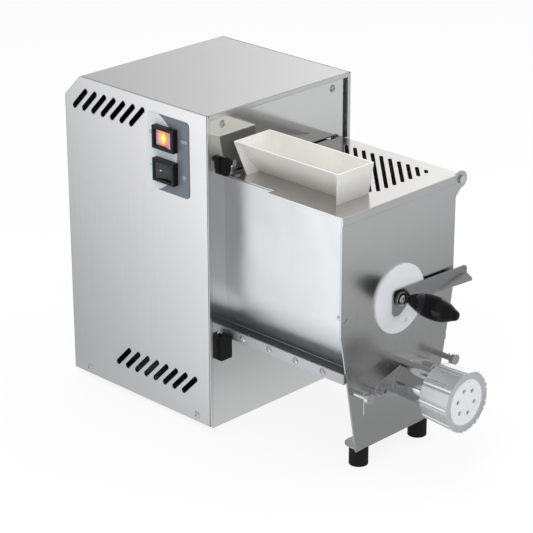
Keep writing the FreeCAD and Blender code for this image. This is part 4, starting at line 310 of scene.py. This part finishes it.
stator_core = turned_metal("stator_core", (0.38, 0.24, 0.14), 0.45, 0.0008)
bush_bronze = turned_metal("bush_bronze", (0.62, 0.42, 0.18), 0.32, 0.0010)
motor_paint = moulded("motor_paint", (0.05, 0.07, 0.11), 0.35, coat=0.3)
food_plastic = moulded("food_plastic", (0.76, 0.775, 0.795), 0.42, tint=0.02, see=0.12)
tray_plastic = moulded("tray_plastic", (0.85, 0.84, 0.80), 0.40, tint=0.03, see=0.25)
black_plastic = moulded("black_plastic", (0.006, 0.006, 0.007), 0.38, shine=0.22)
handle_plastic = moulded(
    "handle_plastic", (0.003, 0.003, 0.004), 0.08, depth=0.000003, coat=0.2, shine=0.12)
rocker_grey = moulded("rocker_grey", (0.035, 0.04, 0.042), 0.36, shine=0.35)
fan_plastic = moulded("fan_plastic", (0.015, 0.015, 0.016), 0.5)
foot_rubber = moulded("foot_rubber", (0.008, 0.008, 0.008), 0.6, depth=0.00006, shine=0.25)
seal_rubber = moulded("seal_rubber", (0.30, 0.05, 0.02), 0.6)
box_plastic = moulded("box_plastic", (0.32, 0.33, 0.34), 0.5)


# Round pale field of the label: centre along Y and Z in millimetres, radius and blur in metres
FIELD_CENTRE = (108.2, 366.3)
FIELD_RADIUS = 0.0539
FIELD_BLUR = 0.0003


def label_material():
    """Printed plate: slate grey, with a pale round field that runs in from its rear edge."""
    material, graph, shader = new_material("label_print")
    where = graph.position()
    centre = place(0, *FIELD_CENTRE)
    reach = graph.length(graph.less(where["Y"], centre.y), graph.less(where["Z"], centre.z))
    outside = graph.fit(reach, FIELD_RADIUS - FIELD_BLUR, FIELD_RADIUS + FIELD_BLUR)
    fade = graph.noise(graph.grid(60), detail=3.0)
    pale = graph.blend(fade, rgb(0.62, 0.68, 0.70), rgb(0.70, 0.75, 0.77))
    slate = graph.blend(fade, rgb(0.125, 0.145, 0.17), rgb(0.155, 0.175, 0.205))
    graph.feed(shader.inputs["Base Color"], graph.blend(outside, pale, slate))
    grain = graph.noise(graph.grid(1500), detail=2.0)
    graph.feed(shader.inputs["Roughness"], graph.fit(grain, 0.3, 0.7, 0.32, 0.42))
    graph.feed(shader.inputs["Normal"], graph.bump(grain, 0.00001, 0.4))
    return material


# Glow of the lit rocker: its centre in millimetres and its half width and height in metres
GLOW_CENTRE = (74.0, 388.0)
GLOW_HALF = (0.0105, 0.0125)


def amber_material():
    """Lit rocker: a yellow-orange glow in the middle that fades to a pink translucent cap."""
    material, graph, shader = new_material("rocker_amber")
    where = graph.position()
    centre = place(0, *GLOW_CENTRE)
    along = graph.math("DIVIDE", graph.less(where["Y"], centre.y), GLOW_HALF[0])
    above = graph.math("DIVIDE", graph.less(where["Z"], centre.z), GLOW_HALF[1])
    cells = graph.noise(graph.grid(420), detail=2.0)
    reach = graph.sum(graph.length(along, above), graph.fit(cells, 0.3, 0.7, -0.06, 0.06))
    glow = graph.blend(graph.fit(reach, 0.15, 0.75), rgb(1.0, 0.62, 0.10), rgb(0.95, 0.30, 0.14))
    skin = graph.blend(graph.fit(reach, 0.7, 1.15), glow, rgb(0.62, 0.36, 0.44))
    graph.feed(shader.inputs["Base Color"], skin)
    graph.feed(shader.inputs["Emission Color"], skin)
    graph.feed(shader.inputs["Emission Strength"], graph.fit(reach, 0.2, 1.1, 0.75, 0.12))
    graph.feed(shader.inputs["Roughness"], graph.fit(cells, 0.3, 0.7, 0.16, 0.24))
    shader.inputs["Coat Weight"].default_value = 0.6
    graph.feed(shader.inputs["Normal"], graph.bump(cells, 0.00002, 0.3))
    return material


label_print = label_material()
rocker_amber = amber_material()

NODE_MATERIALS = {
    cabinet_steel: ("side_panel_left", "side_panel_right", "rear_panel"),
    top_steel: ("top_cover",),
    mirror_steel: ("front_panel",),
    plate_steel: ("front_plate",),
    tank_steel: ("tank_shell", "mixer_shaft", "auger_screw"),
    rail_steel: ("tank_rails",),
    lid_steel: ("lid", "lid_sensor_key"),
    frame_steel: (
        "base_plate", "inner_frame", "lid_hinge_bracket", "gearbox_front_plate", "gearbox_rear_plate",
        "gearbox_posts", "gearbox_bolts", "gearbox_feet",
    ),
    polished_steel: (
        "foot_bolts", "case_screws", "hinge_pins", "barrel", "barrel_bolts", "cutter_studs", "lever_screw",
        "handle_spindle",
    ),
    lever_steel: ("lever_plate",),
    gear_steel: (
        "mixer_gear", "auger_gear", "idler_shaft", "idler_double_gear", "motor_pinion", "motor_rotor",
    ),
    nut_aluminium: ("ring_nut",),
    motor_aluminium: ("motor_housing", "run_capacitor"),
    stator_core: ("motor_stator",),
    bush_bronze: ("bearing_bushes",),
    motor_paint: ("motor_fan_cover",),
    food_plastic: ("die_disc", "front_bearing_disc"),
    tray_plastic: ("feed_tray",),
    black_plastic: (
        "power_switch_frame", "mode_switch_frame", "power_gland", "lid_sensor", "tank_sensor",
    ),
    handle_plastic: ("egg_handle",),
    rocker_grey: ("mode_rocker",),
    rocker_amber: ("power_rocker",),
    fan_plastic: ("cooling_fan_frame", "cooling_fan_rotor", "motor_fan"),
    foot_rubber: ("rubber_feet",),
    seal_rubber: ("shaft_seals",),
    box_plastic: ("control_box",),
    label_print: ("switch_label_plate",),
}
for material, names in NODE_MATERIALS.items():
    for name in names:
        mesh = nodes[name].data
        mesh.materials.clear()
        mesh.materials.append(material)


# Floor, world and lights

FLOOR_REACH = 14.0
CAMERA_WHITE = 0.86
MIRROR_SHARE = 0.9


def floor_level(graph):
    """Painted reflection of the floor for mirrors: pale at the machine's left, grey close in front of it,
    with painted shade near the tank and the cabinet.
    """
    where = graph.position()
    across, along = where["X"], where["Y"]
    slope = graph.sum(graph.product(across, -0.867), graph.product(along, -0.57))
    slope = graph.math("MINIMUM", graph.math("MAXIMUM", graph.sum(slope, 0.655), 0.5), 1.0)
    beside = graph.product(graph.math("POWER", slope, 2.2), 1.55)
    # Painted shade in the mirrored floor: darker under the tank beside the cabinet, and darker towards the
    # front at the machine's left
    under_tank_shade = graph.fit(along, -0.12, 0.12, 0.85, 1.0)
    near_cabinet = graph.fit(across, -0.45, -0.2)
    beside = graph.product(beside, graph.toward(1.0, under_tank_shade, near_cabinet))
    beside = graph.product(beside, graph.fit(along, -0.3, -0.14, 0.3, 1.0))
    before = graph.fit(along, -0.42, -0.80, 0.36, 0.72)
    before = graph.sum(before, graph.product(graph.fit(along, -0.25, 0.05), 0.38))
    ahead = graph.fit(across, -0.22, -0.02)
    return graph.sum(graph.product(before, ahead), graph.product(beside, graph.less(1.0, ahead)))


def make_floor():
    """Pale studio floor that keeps the machine's shadow."""
    mesh = bpy.data.meshes.new("floor")
    corners = [(-FLOOR_REACH, -FLOOR_REACH, 0), (FLOOR_REACH, -FLOOR_REACH, 0),
               (FLOOR_REACH, FLOOR_REACH, 0), (-FLOOR_REACH, FLOOR_REACH, 0)]
    mesh.from_pydata(corners, [], [(0, 1, 2, 3)])
    floor = bpy.data.objects.new("floor", mesh)
    scene.collection.objects.link(floor)
    material, graph, shader = new_material("floor")
    grain = graph.noise(graph.grid(3), detail=2.0)
    graph.feed(shader.inputs["Base Color"], graph.blend(grain, rgb(0.90, 0.90, 0.90), rgb(0.93, 0.93, 0.93)))
    shader.inputs["Roughness"].default_value = 0.7
    plain = shader.outputs[0]
    white = graph.add("ShaderNodeEmission", {"Color": rgb(1, 1, 1), "Strength": 1.0}).outputs[0]
    # Glossy rays see this painted reflection, an emission whose strength is painted by position, in place of
    # the floor
    studio = graph.add(
        "ShaderNodeEmission", {"Color": rgb(0.98, 0.99, 1.0), "Strength": floor_level(graph)}).outputs[0]
    path = graph.add("ShaderNodeLightPath").outputs
    direct = graph.mix_shader(path["Is Camera Ray"], plain, graph.mix_shader(CAMERA_WHITE, plain, white))
    final = graph.mix_shader(path["Is Glossy Ray"], direct, graph.mix_shader(MIRROR_SHARE, plain, studio))
    output = [one for one in graph.tree.nodes if one.type == "OUTPUT_MATERIAL"][0]
    graph.tree.links.new(final, output.inputs["Surface"])
    mesh.materials.append(material)


HIGH_SKY = 0.6
FRONT_SKY = 0.46


def make_world():
    """White behind the machine for the camera; mirrors see a studio with light and grey fields."""
    world = bpy.data.worlds.new("studio")
    world.use_nodes = True
    scene.world = world
    tree = world.node_tree
    tree.nodes.clear()
    graph = Graph(tree)
    direction = graph.split(graph.add("ShaderNodeTexCoord").outputs["Generated"])
    path = graph.add("ShaderNodeLightPath").outputs
    across = graph.less(direction["X"], direction["Y"])
    sky = graph.fit(across, -0.13, 0.2, 0.62, 1.36, smooth=False)
    sky = graph.toward(sky, HIGH_SKY, graph.fit(direction["Z"], 0.45, 0.85))
    sky = graph.toward(sky, FRONT_SKY, graph.fit(direction["Y"], 0.2, -0.5))
    soft = graph.add("ShaderNodeBackground", {"Color": rgb(0.62, 0.625, 0.63), "Strength": 1.0}).outputs[0]
    mirrored = graph.add("ShaderNodeBackground", {"Color": rgb(1.0, 0.995, 0.99), "Strength": sky}).outputs[0]
    white = graph.add("ShaderNodeBackground", {"Color": rgb(1, 1, 1), "Strength": 1.0}).outputs[0]
    around = graph.mix_shader(path["Is Glossy Ray"], soft, mirrored)
    final = graph.mix_shader(path["Is Camera Ray"], around, white)
    graph.add("ShaderNodeOutputWorld", {"Surface": final})


LIGHT_AIM = Vector((0, 0, 0.2))


def area_light(name, location, size, power):
    """Soft box; mirrors see the studio's soft fields in its place."""
    data = bpy.data.lights.new(name, "AREA")
    data.shape = "RECTANGLE"
    data.size, data.size_y = size
    data.energy = power
    light = bpy.data.objects.new(name, data)
    light.location = location
    light.visible_glossy = False
    light.rotation_euler = (LIGHT_AIM - Vector(location)).to_track_quat("-Z", "Y").to_euler()
    scene.collection.objects.link(light)


make_floor()
make_world()
area_light("key", (-1.6, -1.0, 2.2), (1.2, 1.2), 26)
area_light("top", (0.3, 0.2, 2.6), (1.8, 1.8), 22)
area_light("fill", (1.8, -1.6, 1.2), (1.0, 1.4), 10)


# Marks on the switch label

PRINT_DEPTH = 0.00004
PRINT_SIZE = 0.0062


def flat_text(name, words, y, z, material):
    """Raised print that reads from the machine's left side."""
    curve = bpy.data.curves.new(name, "FONT")
    curve.body = words
    curve.size = PRINT_SIZE
    curve.extrude = PRINT_DEPTH
    curve.align_x = "CENTER"
    curve.align_y = "CENTER"
    shape = bpy.data.objects.new(name + "_curve", curve)
    scene.collection.objects.link(shape)
    bpy.context.view_layer.update()
    mesh = bpy.data.meshes.new_from_object(shape.evaluated_get(bpy.context.evaluated_depsgraph_get()))
    bpy.data.objects.remove(shape)
    turn = Matrix(((0, 0, -1), (-1, 0, 0), (0, 1, 0))).to_4x4()
    mesh.transform(Matrix.Translation(place(LABEL_X, y, z)) @ turn)
    mark = bpy.data.objects.new(name, mesh)
    mesh.materials.append(material)
    scene.collection.objects.link(mark)
    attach(mark, "machine")


print_dark = moulded("print_dark", (0.16, 0.18, 0.20), 0.4)
print_light = moulded("print_light", (0.72, 0.75, 0.78), 0.4)
LABEL_X = -130.86
flat_text("mark_on", "ON", 100.4, 389.5, print_dark)
flat_text("mark_off", "OFF", 42.0, 388.8, print_light)


def add_piece(name, build, material, body):
    """A piece drawn by a function into an empty bmesh, riding on a body."""
    mesh = bpy.data.meshes.new(name)
    shape = bmesh.new()
    build(shape)
    bmesh.ops.recalc_face_normals(shape, faces=shape.faces)
    shape.to_mesh(mesh)
    shape.free()
    mesh.materials.append(material)
    piece = bpy.data.objects.new(name, mesh)
    scene.collection.objects.link(piece)
    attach(piece, body)
    return piece


def prism(shape, outline, offset, bevel=0.0, segments=2):
    """Solid over a flat outline of points, swept by an offset, with its edges rounded."""
    low = [shape.verts.new(point) for point in outline]
    high = [shape.verts.new(Vector(point) + Vector(offset)) for point in outline]
    faces = [shape.faces.new(low), shape.faces.new(high[::-1])]
    for index in range(len(low)):
        after = (index + 1) % len(low)
        faces.append(shape.faces.new((low[after], low[index], high[index], high[after])))
    if bevel:
        edges = list({edge for face in faces for edge in face.edges})
        bmesh.ops.bevel(
            shape, geom=edges, offset=bevel, segments=segments, affect="EDGES", clamp_overlap=True)


def ring(count):
    """Sines and cosines of evenly spaced angles round a circle."""
    angles = [2 * math.pi * step / count for step in range(count)]
    return [(math.cos(angle), math.sin(angle)) for angle in angles]


FLAKE_ARMS = 6
FLAKE_HALF = 0.00022


def flake(shape):
    """Flake with a pair of twigs on each arm."""
    middle = place(LABEL_X, 41.7, 342.2)
    for cosine, sine in ring(FLAKE_ARMS):
        ahead = Vector((0, cosine, sine))
        aside = Vector((0, -sine, cosine))
        for start, end, lean in ((0.0, 3.0, 0.0), (1.5, 2.6, 0.9), (1.5, 2.6, -0.9)):
            root = middle + ahead * start / 1000
            tip = middle + ahead * end / 1000 + aside * lean / 1000
            half = (tip - root).cross(Vector((1, 0, 0))).normalized() * FLAKE_HALF
            prism(shape, [root - half, root + half, tip + half, tip - half], (-PRINT_DEPTH, 0, 0))


def stirrer(shape):
    """A bar with a paddle at each end, for the mixing side of the switch."""
    middle = place(LABEL_X, 101.4, 346.0)
    for low, high, half in ((-3.0, 3.0, 0.25), (-3.0, -2.4, 1.3), (2.4, 3.0, 1.3)):
        prism(shape, [middle + Vector((0, along, above)) / 1000 for along, above in (
            (low, -half), (high, -half), (high, half), (low, half))], (-PRINT_DEPTH, 0, 0))


add_piece("mark_flake", flake, print_light, "machine")
add_piece("mark_stirrer", stirrer, print_dark, "machine")


# Ribs and dot on the lower rocker, whose cap is tipped about its pivot at rest; millimetres

ROCKER_TILT = math.radians(7)
ROCKER_CROWN = 6.0
ROCKER_DIP = 2.5
ROCKER_HALF = 14.7
ROCKER_PIVOT = place(-130.8, 72.5, 344.4)
RIB_COUNT = 9
RIB_PITCH = 2.5
RIB_HALF = 0.45
RIB_SPANS = ((-13.6, -1.2), (1.2, 13.6))
RIB_ROOT = -0.3
RIB_CREST = 0.35
DOT_PLACE = 7.0
DOT_RADIUS = 1.1


def rocker_point(along, proud, above):
    """A point on the lower rocker's cap: along its length, proud of its face and above its pivot."""
    height = ROCKER_CROWN - ROCKER_DIP * (1 - abs(along) / ROCKER_HALF) + proud
    local = Vector((-height, along, above)) / 1000
    return ROCKER_PIVOT + Matrix.Rotation(ROCKER_TILT, 3, "Z") @ local


def rocker_ribs(shape):
    """Rows of ribs on both halves of the cap, with the row across the dot left out."""
    for number in range(RIB_COUNT):
        above = (number - RIB_COUNT // 2) * RIB_PITCH
        if above == 0:
            continue
        for start, end in RIB_SPANS:
            low, high = above - RIB_HALF, above + RIB_HALF
            corners = [rocker_point(along, RIB_ROOT, edge) for along, edge in (
                (start, low), (end, low), (end, high), (start, high))]
            rise = rocker_point(start, RIB_CREST, above) - rocker_point(start, RIB_ROOT, above)
            prism(shape, corners, rise, 0.00012, 1)


def rocker_dot(shape):
    """Flat round dot, slightly proud of the cap."""
    outline = [rocker_point(DOT_PLACE + DOT_RADIUS * cosine, 0.05, DOT_RADIUS * sine)
               for cosine, sine in ring(20)]
    prism(shape, outline, (-0.0001, 0, 0))


add_piece("rocker_ribs", rocker_ribs, rocker_grey, "mode_rocker")
add_piece("rocker_dot", rocker_dot, print_light, "mode_rocker")


# Hooked sensor beside the lid

HOOK_LEFT = -104.5
HOOK_WIDTH = 0.008
HOOK_SIDE = [(4.4, 348.8), (4.4, 368.5), (1.5, 371.4), (-8.5, 371.4), (-11.6, 368.8), (-11.8, 364.2),
             (-8.6, 364.2), (-7.6, 366.6), (-5.4, 366.6), (-5.4, 348.8)]


def sensor_hook(shape):
    """Rounded hook that reaches forward over the sensor's foot."""
    outline = [place(HOOK_LEFT, along, above) for along, above in HOOK_SIDE]
    prism(shape, outline, (HOOK_WIDTH, 0, 0), 0.0011, 3)


hook = add_piece("sensor_hook", sensor_hook, black_plastic, "machine")
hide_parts("lid_sensor")


# Small mark moulded into the bearing disc

MARK_LEAN = 0.35
MARK_HALF = (3.0, 1.1)


def disc_mark(shape):
    """Leaning oval on the disc's face."""
    up = Vector((MARK_LEAN, 0, 1)).normalized()
    across = Vector((1, 0, -MARK_LEAN)).normalized()
    middle = place(11.6, -206.02, 180.4)
    outline = [middle + (up * MARK_HALF[0] * cosine + across * MARK_HALF[1] * sine) / 1000
               for cosine, sine in ring(24)]
    prism(shape, outline, (0, -PRINT_DEPTH, 0))


disc_print = moulded("disc_print", (0.30, 0.31, 0.32), 0.5)
add_piece("disc_mark", disc_mark, disc_print, "lever")

scene.view_settings.view_transform = "Standard"
